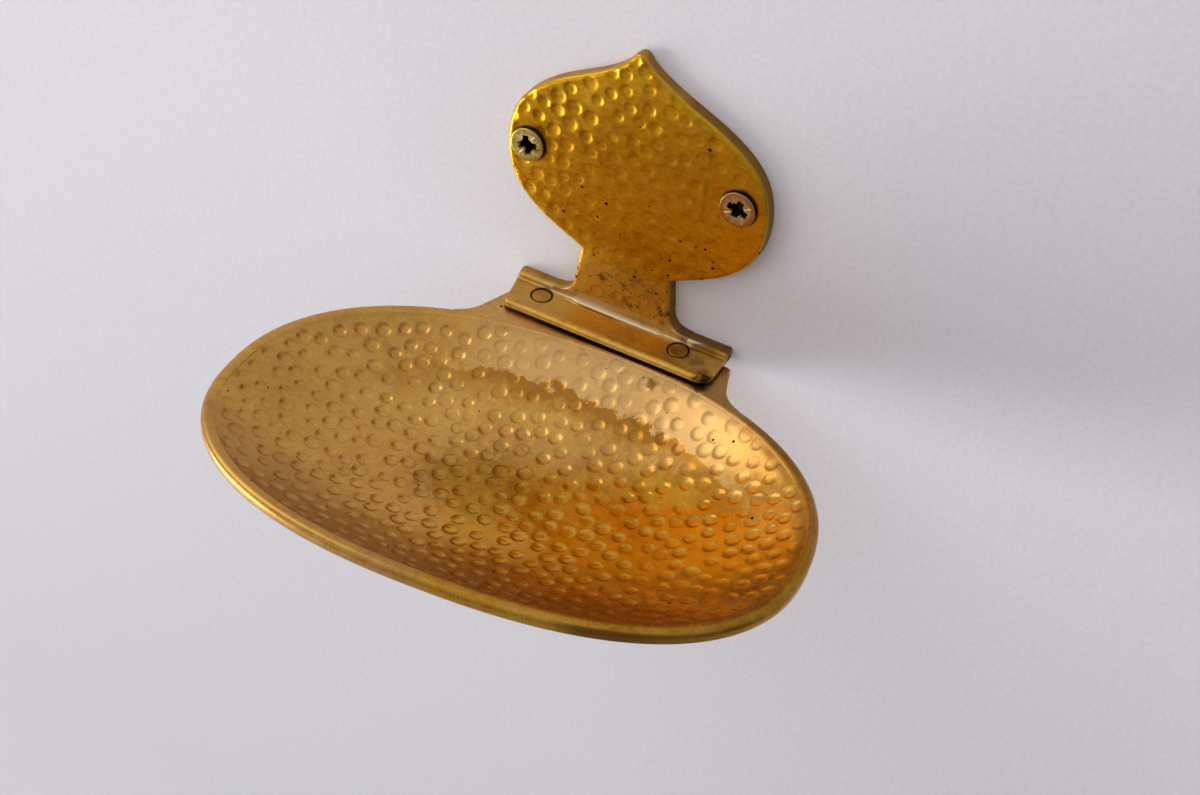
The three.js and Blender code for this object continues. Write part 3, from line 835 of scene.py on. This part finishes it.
class Graph:
    """Short names for building the nodes of a material or a world."""

    def __init__(self, owner, shader="Principled BSDF", coords="Object"):
        owner.use_nodes = True
        self.owner = owner
        self.tree = owner.node_tree
        self.shader = self.tree.nodes[shader]
        self.coords = self.add("ShaderNodeTexCoord").outputs[coords]

    def feed(self, node, inputs):
        """Give a node's inputs, by name or number, a value or a link from another node."""
        for key, value in inputs.items():
            if isinstance(value, bpy.types.NodeSocket):
                self.tree.links.new(value, node.inputs[key])
            else:
                node.inputs[key].default_value = value

    def add(self, kind, inputs=None, **settings):
        node = self.tree.nodes.new(kind)
        for key, value in settings.items():
            setattr(node, key, value)
        self.feed(node, inputs or {})
        return node

    def noise(self, scale, detail=3.0, rough=0.5, stretch=None):
        vector = self.coords
        if stretch:
            vector = self.add("ShaderNodeMapping", {"Vector": vector, "Scale": stretch}).outputs["Vector"]
        inputs = {"Vector": vector, "Scale": scale, "Detail": detail, "Roughness": rough}
        return self.add("ShaderNodeTexNoise", inputs).outputs["Fac"]

    def ramp(self, source, stops):
        node = self.add("ShaderNodeValToRGB", {"Fac": source})
        elements = node.color_ramp.elements
        while len(elements) < len(stops):
            elements.new(0.5)
        for element, (position, colour) in zip(elements, stops):
            element.position = position
            element.color = (*colour, 1.0)
        return node.outputs["Color"]

    def math(self, operation, a, b=0.0, clamp=False):
        return self.add("ShaderNodeMath", {0: a, 1: b}, operation=operation, use_clamp=clamp).outputs[0]

    def fold(self, operation, parts):
        result = parts[0]
        for part in parts[1:]:
            result = self.math(operation, result, part)
        return result

    def plus(self, *parts):
        return self.fold("ADD", parts)

    def times(self, *parts):
        return self.fold("MULTIPLY", parts)

    def greatest(self, *parts):
        return self.fold("MAXIMUM", parts)

    def weighted(self, *parts):
        """Sum of sources, each times its weight."""
        return self.plus(*(self.times(source, weight) for source, weight in parts))

    def spread(self, source, low, high, to_low=0.0, to_high=1.0):
        """Source between low and high, stretched to run between two other values and held there."""
        limits = {"From Min": low, "From Max": high, "To Min": to_low, "To Max": to_high}
        return self.add("ShaderNodeMapRange", {"Value": source, **limits}, clamp=True).outputs["Result"]

    def run(self, source, low, high, to_low=0.0, to_high=1.0):
        """The same for a place or distance, with low and high in millimetres."""
        return self.spread(source, low * MM, high * MM, to_low, to_high)

    def uneven(self, source, to_low, to_high):
        """Noise stretched to fill a range, since most of it lies in the middle."""
        return self.spread(source, 0.3, 0.7, to_low, to_high)

    def past(self, source, limit):
        return self.math("GREATER_THAN", source, limit * MM)

    def short_of(self, source, limit):
        return self.math("LESS_THAN", source, limit * MM)

    def off(self, source, at):
        """Distance of a coordinate from a value in millimetres."""
        return self.math("ABSOLUTE", self.plus(source, -at * MM))

    def mix(self, share, a, b, blend="MIX"):
        if isinstance(b, tuple):
            b = (*b, 1.0)
        inputs = {0: share, 6: a, 7: b}
        return self.add("ShaderNodeMix", inputs, data_type="RGBA", blend_type=blend).outputs[2]

    def axes(self, vector=None):
        return self.add("ShaderNodeSeparateXYZ", {"Vector": vector or self.coords}).outputs[:]

    def vector(self, operation, a, b=(0, 0, 0)):
        node = self.add("ShaderNodeVectorMath", {0: a, 1: b}, operation=operation)
        return node.outputs["Value" if operation in ("LENGTH", "DOT_PRODUCT") else "Vector"]

    def away(self, place, axes=(1, 1, 1)):
        """Distance in metres from a place in millimetres, along the chosen axes only."""
        shift = self.vector("SUBTRACT", self.coords, tuple(value * MM for value in place))
        return self.vector("LENGTH", self.vector("MULTIPLY", shift, axes))

    def pinholes(self, across, up, scale, share, smallest, largest):
        """Small black casting pores scattered over a plane, as a mask."""
        plane = self.add("ShaderNodeCombineXYZ", {"X": across, "Y": up}).outputs["Vector"]
        spaced = {"Vector": plane, "Scale": scale}
        cells = self.add("ShaderNodeTexVoronoi", spaced, voronoi_dimensions="2D").outputs
        pick = self.add("ShaderNodeSeparateColor", {"Color": cells["Color"]}).outputs
        chosen = self.math("LESS_THAN", pick[0], share)
        size = self.spread(self.math("POWER", pick[1], 2.5), 0, 1, smallest, largest)
        ragged = self.plus(cells["Distance"], self.uneven(self.noise(3000, 2), -0.02, 0.02))
        return self.times(chosen, self.math("LESS_THAN", ragged, size))

    def bump(self, height, strength, distance):
        inputs = {"Height": height, "Strength": strength, "Distance": distance}
        return self.add("ShaderNodeBump", inputs).outputs["Normal"]


# Black of dirt and pores, also used for painted shade in the seam under the foot and painted shadow at the
# foot's corner and round the screw heads
BLACK_DIRT_AND_SHADE = (0.012, 0.008, 0.005)
# Near black used for painted shade in a screw's recess
RECESS_SHADE = (0.016, 0.012, 0.008)
# Dark brown of patina, also used for painted shade on the plate's right-hand sides and a painted dark
# reflection on the dish's front rim
PATINA_AND_PAINTED_DARK = (0.14, 0.062, 0.015)
BARE_TONE = (0.33, 0.115, 0.006)
DISH_FILM_TONE = (0.63, 0.41, 0.22)
# Pale tone of the plate's film, also used for a painted highlight along the ridge of the foot
PLATE_FILM_AND_HIGHLIGHT_TONE = (0.84, 0.70, 0.48)
TICK_TONE = (0.85, 0.72, 0.50)
HAMMERED = [(0.40, (0.44, 0.188, 0.012)), (0.5, (0.63, 0.317, 0.026)), (0.61, (0.73, 0.424, 0.065))]
GOLDEN = [(0.38, (0.52, 0.225, 0.004)), (0.5, (0.71, 0.37, 0.010)), (0.62, (0.79, 0.46, 0.03))]
RIVETED = [(0.36, (0.24, 0.11, 0.015)), (0.5, (0.40, 0.20, 0.03)), (0.64, (0.56, 0.33, 0.07))]
YELLOW = [(0.36, (0.45, 0.36, 0.09)), (0.5, (0.65, 0.56, 0.19)), (0.64, (0.74, 0.68, 0.32))]
COPPERY = [(0.36, (0.42, 0.28, 0.17)), (0.5, (0.60, 0.46, 0.32)), (0.64, (0.66, 0.58, 0.42))]
YELLOW_EDGE = (0.50, 0.38, 0.10)
COPPERY_EDGE = (0.40, 0.17, 0.07)
ZINC_ROUGHNESS = (0.19, 0.36)
PLASTER = [(0.3, (0.72, 0.707, 0.738)), (0.7, (0.77, 0.757, 0.788))]
WATER_LINE = (-45.2, -44.9)


def brass(
    name,
    tones,
    roughness,
    brushing,
    bare=None,
    film_and_highlight=None,
    film_and_highlight_tone=None,
    brown_and_painted_dark=None,
    dirt_and_shade=None,
    pores=None,
    matt=None,
):
    """Aged brass with mottled tone, brushing, dirt in the hollows, and each piece's own layers of dirt,
    brown, film and pores; on some pieces these layers also hold painted shade, painted shadow, a painted dark
    reflection and a painted highlight.
    """
    g = Graph(bpy.data.materials.new(name))
    broad = g.noise(38, 4)
    mottled = g.noise(420, 5, rough=0.6)
    grain = g.noise(1500, 4, rough=0.7)
    lines = g.noise(1, 4, stretch=brushing)
    colour = g.ramp(g.weighted((broad, 0.42), (mottled, 0.26), (lines, 0.2), (grain, 0.12)), tones)

    pointed = g.add("ShaderNodeNewGeometry").outputs["Pointiness"]
    hollow = g.spread(pointed, 0.44, 0.495, 1, 0)
    dull = g.times(hollow, g.spread(g.noise(150, 4), 0.42, 0.68, 0, 0.8))
    dull = g.greatest(dull, g.spread(g.noise(95, 6, rough=0.65), 0.63, 0.8, 0, 0.2))
    if bare:
        colour = g.mix(bare(g), colour, BARE_TONE)
    # This layer also holds a painted highlight on the plate's foot
    if film_and_highlight:
        film_and_highlight_share = film_and_highlight(g)
        colour = g.mix(film_and_highlight_share, colour, film_and_highlight_tone)
    # This layer also holds painted shade on the plate and a painted dark reflection on the dish
    if brown_and_painted_dark:
        dull = g.greatest(dull, brown_and_painted_dark(g))
    colour = g.mix(dull, colour, PATINA_AND_PAINTED_DARK)
    # The first of these layers also holds painted shade and painted shadow round the foot and the screw heads
    for layer in (dirt_and_shade, pores):
        if layer:
            black = layer(g)
            colour = g.mix(black, colour, BLACK_DIRT_AND_SHADE)
            dull = g.greatest(dull, black)

    worn = g.weighted((mottled, 0.35), (lines, 0.35), (grain, 0.3))
    rough = g.spread(worn, 0.34, 0.66, *roughness)
    rough = g.math("ADD", rough, g.times(dull, 0.25), clamp=True)
    if film_and_highlight:
        rough = g.math("ADD", rough, g.times(film_and_highlight_share, 0.22), clamp=True)
    if matt:
        rough = g.math("ADD", rough, matt(g), clamp=True)
    normal = g.bump(g.weighted((mottled, 0.4), (lines, 0.35), (grain, 0.25)), 0.16, 0.04 * MM)
    g.feed(g.shader, {"Metallic": 1.0, "Base Color": colour, "Roughness": rough, "Normal": normal})
    return g.owner


def mark_edges(g, patchy):
    """Thin broken lines of dirt round the punch marks."""
    edge = g.add("ShaderNodeAttribute", attribute_name="mark_edge").outputs["Fac"]
    return g.times(edge, g.spread(g.noise(330, 3), 0.38, 0.58, 0, patchy))


def patch(g, place, radius, strength):
    """A ragged patch round a place; it makes stains, painted shadows and a painted dark reflection."""
    fringe = 0.4 * radius * MM
    ragged = g.plus(g.away(place), g.uneven(g.noise(520, 4), -fringe, fringe))
    return g.run(ragged, 0.45 * radius, radius, strength, 0)


def dish_dirt_and_shade(g):
    """Painted shade in the seam along the foot and painted shadow at its right corner, a black speck, and
    dirt lines round the marks.
    """
    x, y, z = g.axes()
    along = g.times(g.run(x, -26, -12), g.run(x, 24.5, 26.2, 1, 0))
    # Painted shade: a black line on the tab in the seam under the foot's front edge
    seam = g.times(g.run(g.off(y, -FOOT_DEPTH), 0.3, 0.7, 0.95, 0), along, g.past(z, RIM_TOP - 1.2))
    # Painted shadow at the right corner of the foot
    corner = patch(g, (24.6, -12.2, RIM_TOP), 2.4, 0.9)
    speck = patch(g, (-29.0, -20.5, -42.0), 0.9, 0.5)
    low = g.run(g.away(BOWL_LOW_PLACE), 10, 21, 2.4, 1)
    return g.greatest(seam, corner, speck, g.times(mark_edges(g, 0.28), low))


def water_line(g):
    """Old water line at the back of the bowl: a ragged warp, the part above it and a strip just below it."""
    x, y, z = g.axes()
    warp = g.uneven(g.noise(165, 6, rough=0.7), -1, 1)
    level = g.plus(z, g.times(warp, 1.3 * MM))
    at_back = g.run(y, -48, -40)
    middle = g.times(g.run(x, 30, 48, 1, 0.3), g.run(x, -34, -16, 0.35, 1))
    above = g.times(at_back, g.run(level, *WATER_LINE, 0, 0.6), middle)
    strip = g.times(g.run(level, -48.6, -46.2, 0, 0.8), g.run(level, *WATER_LINE, 1, 0))
    return warp, above, g.times(at_back, strip, middle)


def dish_bare(g):
    """Bare metal, warmer in tone, in the strip under the water line."""
    return water_line(g)[-1]


def dish_brown_and_dark_reflection(g):
    """Tarnish on the right of the rim, low in the bowl, on the left and beside the foot, darker high on the
    front inner wall, and a painted dark reflection on the rim's outer side at the front right.
    """
    x, y, z = g.axes()
    right = g.run(x, 24, 46, 0.06, 0.5)
    rim = g.times(g.run(z, -40.4, -39.6), right, g.uneven(g.noise(160, 4), 0.7, 1))
    blotch = patch(g, (15.3, -15.3, -40.2), 1.8, 0.75)
    low = patch(g, BOWL_LOW_PLACE, 14, 0.32)
    # Painted dark reflection on the outer side of the front rim, towards the right
    front = patch(g, (45, -86.5, -41.5), 10, 0.55)
    wall = g.times(g.run(z, -52.5, -45.5, 0, 0.34), g.run(y, -64, -76))
    # Painted dark reflection where the rim's outer side faces the front, picked by its surface direction
    _, facing, _ = g.axes(g.add("ShaderNodeNewGeometry").outputs["Normal"])
    on_lip = g.times(g.past(z, -42.4), g.short_of(y, -66))
    along = g.times(g.run(x, 27, 36, 0, 0.86), g.run(x, 46, 62, 1, 0.45))
    outer = g.times(g.spread(facing, -0.4, -0.7), on_lip, along)
    left = g.run(x, -18, -45, 0, 0.15)
    return g.greatest(rim, blotch, low, front, wall, outer, left)


def dish_film(g):
    """Dried soap above the water line, thinner on the left and none towards the front right."""
    x, y, _ = g.axes()
    warp, above, line = water_line(g)
    ahead = g.plus(g.times(x, 0.4), g.times(warp, 4 * MM), g.times(y, -1), -40.7 * MM)
    across = g.plus(x, g.times(y, 0.5), g.times(warp, 5 * MM), 41.5 * MM)
    rubbed = g.times(g.run(ahead, -2, 4), g.run(across, -3, 4))
    below = g.spread(g.greatest(line, rubbed), 0, 1, 0.3, 0.02)
    streaks = g.uneven(g.noise(1, 3, stretch=(900, 90, 300)), 0.65, 1)
    return g.times(g.greatest(above, below), streaks)


def dish_pores(g):
    x, y, _ = g.axes()
    return g.pinholes(x, y, 240, 0.06, 0.03, 0.085)


def plate_dirt_and_shade(g):
    """Black dirt round the marks and on the neck, dark rings round the rivets, darker along the foot's
    groove, painted shadow round the screw heads, and painted shade under the foot and at its right corner.
    """
    x, y, z = g.axes()
    # Dark rings round the rivets; the rings round the screw heads are painted shadow
    rings = [g.run(g.away((at, RIVET_Y, 0), (1, 1, 0)), 2.4, 2.9, 0.92, 0) for at in RIVETS.values()]
    rings += [g.run(g.away((at, 0, up), (1, 0, 1)), 4.2, 4.6, 0.8, 0) for at, up, _ in SCREWS.values()]
    # Painted shade along the foot's lower front edge, over the seam
    under = g.run(z, FOOT_BOTTOM + 0.25, FOOT_BOTTOM + 0.65, 0.95, 0)
    under = g.times(under, g.run(x, -24, -4, 0.3, 1))
    # Painted shadow at the foot's right corner
    corner = patch(g, (25.2, -11.3, FOOT_BOTTOM + 0.5), 2.6, 0.92)
    outlines = g.times(mark_edges(g, 1.0), g.run(z, -8, -22, 0.2, 0.45))
    # Darker along the groove in the foot
    groove = g.times(g.run(g.off(y, -4.68), 0.12, 0.3, 0.9, 0), g.run(g.off(x, -4.5), 3, 7, 1, 0))
    groove = g.times(groove, g.short_of(z, -36))
    smudge = g.spread(g.noise(380, 5, rough=0.7), 0.55, 0.64, 0, 0.7)
    smudge = g.times(smudge, g.run(z, -18, -27), g.run(z, -34.5, -33, 0.25, 1))
    return g.greatest(*rings, under, corner, outlines, groove, smudge)


def ridge_front(g):
    """Depth from the wall, shifted so that the painted highlight on the ridge of the foot, and the crease in
    front of it, narrow to a point at the right.
    """
    x, y, _ = g.axes()
    return g.plus(y, g.run(x, 12, 21.5, 0, -1.7 * MM))


def plate_brown_and_shade(g):
    """Brown skin on the cast sides and the foot, a brown hollow and band at the right, a little browner
    towards the top, darker in the crease at the right, and painted shade on the right-hand sides and on the
    leg right of the neck.
    """
    x, y, z = g.axes()
    side = g.times(g.run(y, -2.7, -2.0), g.uneven(g.noise(210, 4), 0.3, 0.6))
    hollow = patch(g, (21.6, -7.4, FOOT_TOP), 2.6, 0.55)
    upper = g.run(z, -12, 4, 0, 0.2)
    on_foot = g.run(z, -34.5, -33.5, 1, 0)
    foot = g.times(on_foot, g.run(x, -22, -6, 0.32, 0.14))
    # Painted shade on the right-hand sides of the plate, away from the light
    right = g.times(g.run(y, -3.2, -2.5, 0, 0.7), g.run(x, 4, 11))
    # Painted shade on the leg's top right of the neck, in the neck's shadow
    leg = g.times(g.run(y, -3.1, -2.6, 0, 0.82), g.run(x, 11.5, 13), on_foot)
    front = ridge_front(g)
    # Darker in the crease at the right end of the cove
    crease = g.times(g.run(front, -6.2, -5.6, 0, 0.8), g.run(front, -4.6, -4.2, 1, 0))
    crease = g.times(crease, g.run(x, 17.2, 19), g.run(x, 23.5, 26.5, 1, 0.4), on_foot)
    band = patch(g, (18.9, -7.5, FOOT_TOP), 1.6, 0.5)
    return g.greatest(side, hollow, upper, foot, right, leg, crease, band)


def plate_film_and_highlight(g):
    """A painted highlight along the ridge of the foot, a pale dull film on its flat, and a trace of film on
    the neck and the plate's edge.
    """
    x, y, z = g.axes()
    on_foot = g.run(z, -34.5, -33.2, 1, 0)
    # Painted highlight along the ridge of the foot, narrowing to a point at the right
    ridge = g.times(g.run(ridge_front(g), -5, -4.4, 0, 0.9), g.run(y, -2.6, -1.4, 1, 0.1))
    middle = g.times(g.run(x, 20.5, 21.5, 1, 0), g.run(x, -22, -12, 0.4, 1))
    flat = g.run(y, -4, -3, 0.2, 0)
    streaks = g.spread(g.noise(1, 4, stretch=(60, 900, 900)), 0.35, 0.65, 0.35, 1)
    dull = g.times(on_foot, g.greatest(g.times(ridge, middle), flat), streaks)
    on_neck = g.run(z, -20, -27, 0, 0.09)
    on_edge = g.times(g.run(y, -3, -2.6, 0, 0.12), g.past(z, -33.5))
    return g.greatest(dull, on_neck, on_edge)


def plate_matt(g):
    """The neck is dull where hands can't polish it."""
    z = g.axes()[2]
    return g.times(g.run(z, -16, -25, 0, 0.22), g.run(z, -34.5, -33.5))


def plate_pores(g):
    x, _, z = g.axes()
    share = g.times(g.run(z, -2, -26, 0.025, 0.5), g.past(z, -33.5))
    return g.pinholes(x, z, 500, share, 0.04, 0.21)


def zinc(name, face_tones, edge_tone, screw):
    """Passivated zinc: tinted face, a redder worn edge, and painted shade that darkens the recess."""
    screw_x, screw_z, screw_turn = SCREWS[screw]
    centre = (screw_x, 0, screw_z)
    g = Graph(bpy.data.materials.new(name))
    tint = g.noise(330, 3)
    lines = g.noise(1100, 4, rough=0.65)
    tone = g.ramp(g.weighted((tint, 0.65), (lines, 0.35)), face_tones)
    off_axis = g.away(centre, (1, 0, 1))
    ragged = g.plus(off_axis, g.uneven(tint, -0.5 * MM, 0.5 * MM))
    tone = g.mix(g.run(ragged, 2.7, 3.6, 0, 0.85), tone, edge_tone)
    shift = g.vector("SUBTRACT", g.coords, tuple(value * MM for value in centre))
    ticks = []
    for quarter in (45, 135):
        turn = math.radians(screw_turn + quarter)
        across = g.vector("DOT_PRODUCT", shift, (-math.sin(turn), 0, math.cos(turn)))
        ticks.append(g.run(g.off(across, 0), 0.12, 0.2, 0.9, 0))
    on_ring = g.times(g.past(off_axis, 1.9), g.short_of(off_axis, 3.3))
    tone = g.mix(g.times(g.greatest(*ticks), on_ring), tone, TICK_TONE)
    # Painted shade deep in the recess of the head
    deep = g.run(g.axes()[1], 0.2 - SCREW_TOP, 0.7 - SCREW_TOP, 0, 0.97)
    recess_shade = g.times(deep, g.short_of(off_axis, 2.9))
    tone = g.mix(recess_shade, tone, RECESS_SHADE)
    rough = g.uneven(lines, *ZINC_ROUGHNESS)
    normal = g.bump(lines, 0.2, 0.03 * MM)
    g.feed(g.shader, {"Metallic": 1.0, "Base Color": tone, "Roughness": rough, "Normal": normal})
    return g.owner


def plaster():
    """Pale painted wall with painted light falloff that makes it lighter towards the top left, and clear when
    seen from behind.
    """
    g = Graph(bpy.data.materials.new("pale_plaster"))
    x, _, z = g.axes()
    # Painted light falloff: lighter towards the top, darker towards the right
    painted_light_falloff = g.plus(g.run(z, -300, 0, 0.92, 1.14), g.run(x, 0, 130, 0, -0.07))
    paint = g.mix(1.0, g.ramp(g.noise(900, 3), PLASTER), painted_light_falloff, "MULTIPLY")
    normal = g.bump(g.noise(650, 4), 0.12, 0.4 * MM)
    g.feed(g.shader, {"Base Color": paint, "Roughness": 0.85, "Specular IOR Level": 0.15, "Normal": normal})
    behind = g.add("ShaderNodeNewGeometry").outputs["Backfacing"]
    clear = g.add("ShaderNodeBsdfTransparent").outputs[0]
    either = g.add("ShaderNodeMixShader", {0: behind, 1: g.shader.outputs[0], 2: clear}).outputs[0]
    g.feed(g.tree.nodes["Material Output"], {"Surface": either})
    return g.owner


dish_brass = brass(
    "hammered_brass_dish",
    HAMMERED,
    (0.1, 0.28),
    (2600, 2600, 300),
    bare=dish_bare,
    film_and_highlight=dish_film,
    film_and_highlight_tone=DISH_FILM_TONE,
    brown_and_painted_dark=dish_brown_and_dark_reflection,
    dirt_and_shade=dish_dirt_and_shade,
    pores=dish_pores,
)
plate_brass = brass(
    "hammered_brass_plate",
    GOLDEN,
    (0.2, 0.36),
    (600, 2400, 1600),
    film_and_highlight=plate_film_and_highlight,
    film_and_highlight_tone=PLATE_FILM_AND_HIGHLIGHT_TONE,
    brown_and_painted_dark=plate_brown_and_shade,
    dirt_and_shade=plate_dirt_and_shade,
    pores=plate_pores,
    matt=plate_matt,
)
rivet_brass = brass("aged_brass_rivet", RIVETED, (0.26, 0.45), (300, 2600, 2600))
yellow_zinc = zinc("yellow_zinc", YELLOW, YELLOW_EDGE, "screw_left")
coppery_zinc = zinc("coppery_zinc", COPPERY, COPPERY_EDGE, "screw_right")


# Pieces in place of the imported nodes


def keep_mark_edges(piece, marks, on_surface):
    """Store how near each point is to the edge of a mark, for the dirt that sits there."""
    count = len(piece.data.vertices)
    points = np.empty(count * 3, dtype=np.float32)
    piece.data.vertices.foreach_get("co", points)
    points = points.reshape(-1, 3).astype(float) / MM
    points, chosen = on_surface(points)
    values = np.zeros(count, dtype=np.float32)
    values[chosen] = marks.edge_at(points[chosen])
    layer = piece.data.attributes.new("mark_edge", "FLOAT", "POINT")
    layer.data.foreach_set("value", values)


def dish_inside(points):
    return points, points[:, 2] > RIM_TOP - BOWL_DEPTH - 1


def plate_front(points):
    chosen = (points[:, 1] < EDGE_EASE / 2 - PLATE_THICKNESS) & (points[:, 2] > LEG_TOP + 1)
    flat = points.copy()
    flat[:, 1] = -PLATE_THICKNESS
    return flat, chosen


def take_place(piece, node, slot):
    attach(piece, "root")
    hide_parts(node)


dish, dish_marks = bowl_object()
combine(dish, tab_object(), "UNION")
for rivet_x in RIVETS.values():
    combine(dish, rivet_hole(rivet_x), "DIFFERENCE")
keep_mark_edges(dish, dish_marks, dish_inside)
shade(dish, dish_brass, 50)
take_place(dish, "dish", "hammered_brass")

plate, plate_marks = leaf_object()
combine(plate, foot_object(), "UNION")
combine(plate, neck_fillet_object(), "UNION")
for rivet_x in RIVETS.values():
    combine(plate, rivet_hole(rivet_x), "DIFFERENCE")
for screw_x, screw_z, _ in SCREWS.values():
    combine(plate, screw_hole(screw_x, screw_z), "DIFFERENCE")
keep_mark_edges(plate, plate_marks, plate_front)
shade(plate, plate_brass, 50)
take_place(plate, "wall_plate", "hammered_brass")

for rivet_name, rivet_x in RIVETS.items():
    rivet = rivet_object(rivet_name, rivet_x)
    shade(rivet, rivet_brass, 40)
    take_place(rivet, rivet_name, "aged_brass")

SCREW_FINISH = {"screw_left": (yellow_zinc, "yellow_zinc"), "screw_right": (coppery_zinc, "coppery_zinc")}
for screw_name, (screw_x, screw_z, screw_turn) in SCREWS.items():
    screw = screw_object(screw_name, screw_x, screw_z, screw_turn)
    shade(screw, SCREW_FINISH[screw_name][0], 35)
    take_place(screw, screw_name, SCREW_FINISH[screw_name][1])


# Pale wall that sweeps into a pale floor well below the view, left open behind the plate


def wall_opening():
    """Outlines just inside the plate's back, where the wall is left open to light the back."""
    leaf = leaf_outline()
    leaf = leaf + inward(leaf) * 0.5
    half = FOOT_LENGTH / 2
    low, high = FOOT_BOTTOM + 0.5, LEG_TOP - 0.8
    leg = np.array([(1.2 - half, low), (half - 0.6, low), (half - 0.6, high), (1.2 - half, high)])
    return leaf * MM, leg * MM


def stage_object():
    """Wall and floor in metres."""
    reach, floor, bend = 3.0, -1.45, 0.3
    section = arc(-bend, floor + bend, bend, -bend, np.linspace(0, 90, 13))
    section.append((-reach, floor))
    points = [(x, y, z) for y, z in section for x in (-reach, reach)]
    faces = [(2 * i, 2 * i + 2, 2 * i + 3, 2 * i + 1) for i in range(len(section) - 1)]

    low = floor + bend
    loops = [np.array([(-reach, low), (reach, low), (reach, reach), (-reach, reach)]), *wall_opening()]
    plane = []
    edges = []
    for loop in loops:
        first = len(plane)
        plane += [Vector(p) for p in loop]
        edges += [(first + i, first + (i + 1) % len(loop)) for i in range(len(loop))]
    flat, _, triangles, _, _, _ = delaunay_2d_cdt(plane, edges, [], 0, 1e-7)
    middles = np.array([np.mean([flat[corner] for corner in triangle], axis=0) for triangle in triangles])
    open_here = inside(middles, loops[1]) | inside(middles, loops[2])
    first = len(points)
    points += [(x, 0.0, z) for x, z in flat]
    faces += [tuple(first + c for c in triangle) for triangle, gone in zip(triangles, open_here) if not gone]
    mesh = bpy.data.meshes.new("wall_and_floor")
    mesh.from_pydata(points, [], faces)
    mesh.update()
    mesh.shade_smooth()
    mesh.materials.append(plaster())
    wall = bpy.data.objects.new("wall_and_floor", mesh)
    bpy.context.scene.collection.objects.link(wall)
    wall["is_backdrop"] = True


stage_object()

# Camera at the photograph's place, rolled a little as the photograph is
CAMERA_AT = Vector((0.13268, -0.30070, 0.21863))
CAMERA_LOOK = Vector((-0.31395, 0.69120, -0.65091))
CAMERA_ROLL = math.radians(6.18)
PHOTO_WIDTH_PX = 1200
FOCAL_PX = 1850
SENSOR_WIDTH = 36

camera_data = bpy.data.cameras.new("camera")
camera_data.sensor_width = SENSOR_WIDTH
camera_data.lens = SENSOR_WIDTH * FOCAL_PX / PHOTO_WIDTH_PX
camera_data.clip_start = 0.01
camera = bpy.data.objects.new("camera", camera_data)
aimed = CAMERA_LOOK.to_track_quat("-Z", "Y").to_matrix().to_4x4()
rolled = aimed @ Matrix.Rotation(CAMERA_ROLL, 4, "Z")
camera.matrix_world = Matrix.Translation(CAMERA_AT) @ rolled
bpy.context.scene.collection.objects.link(camera)
bpy.context.scene.camera = camera


def area_light(name, at, aim, size, watts, colour):
    data = bpy.data.lights.new(name, "AREA")
    data.shape = "RECTANGLE"
    data.size, data.size_y = size
    data.energy = watts
    data.color = colour
    light = bpy.data.objects.new(name, data)
    light.location = at
    light.rotation_euler = (Vector(aim) - Vector(at)).to_track_quat("-Z", "Y").to_euler()
    bpy.context.scene.collection.objects.link(light)


area_light("window", (-1.92, -1.03, -1.00), (0, -0.03, 0), (1.2, 1.2), 36, (1.0, 0.98, 0.95))
area_light("lamp", (-0.75, -0.20, 0.62), (0, -0.05, -0.04), (0.8, 0.7), 2.9, (1.0, 0.98, 0.96))

# Even room light, brighter from above and from the left
ROOM_BRIGHT_SIDE = (-0.58, -0.10, 0.81)
ROOM_TONES = [(0.15, (0.15, 0.15, 0.16)), (0.9, (0.95, 0.94, 0.98))]

room = Graph(bpy.data.worlds.new("studio"), "Background", "Generated")
towards = room.vector("DOT_PRODUCT", room.coords, ROOM_BRIGHT_SIDE)
room.feed(room.shader, {"Strength": 0.8, "Color": room.ramp(room.spread(towards, -1, 1), ROOM_TONES)})
bpy.context.scene.world = room.owner
bpy.context.scene.view_settings.view_transform = "Standard"

boxes = {"cad": cad_box, "visual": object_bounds()}
{key: [[float(v) for v in corner] for corner in box] for key, box in boxes.items()}
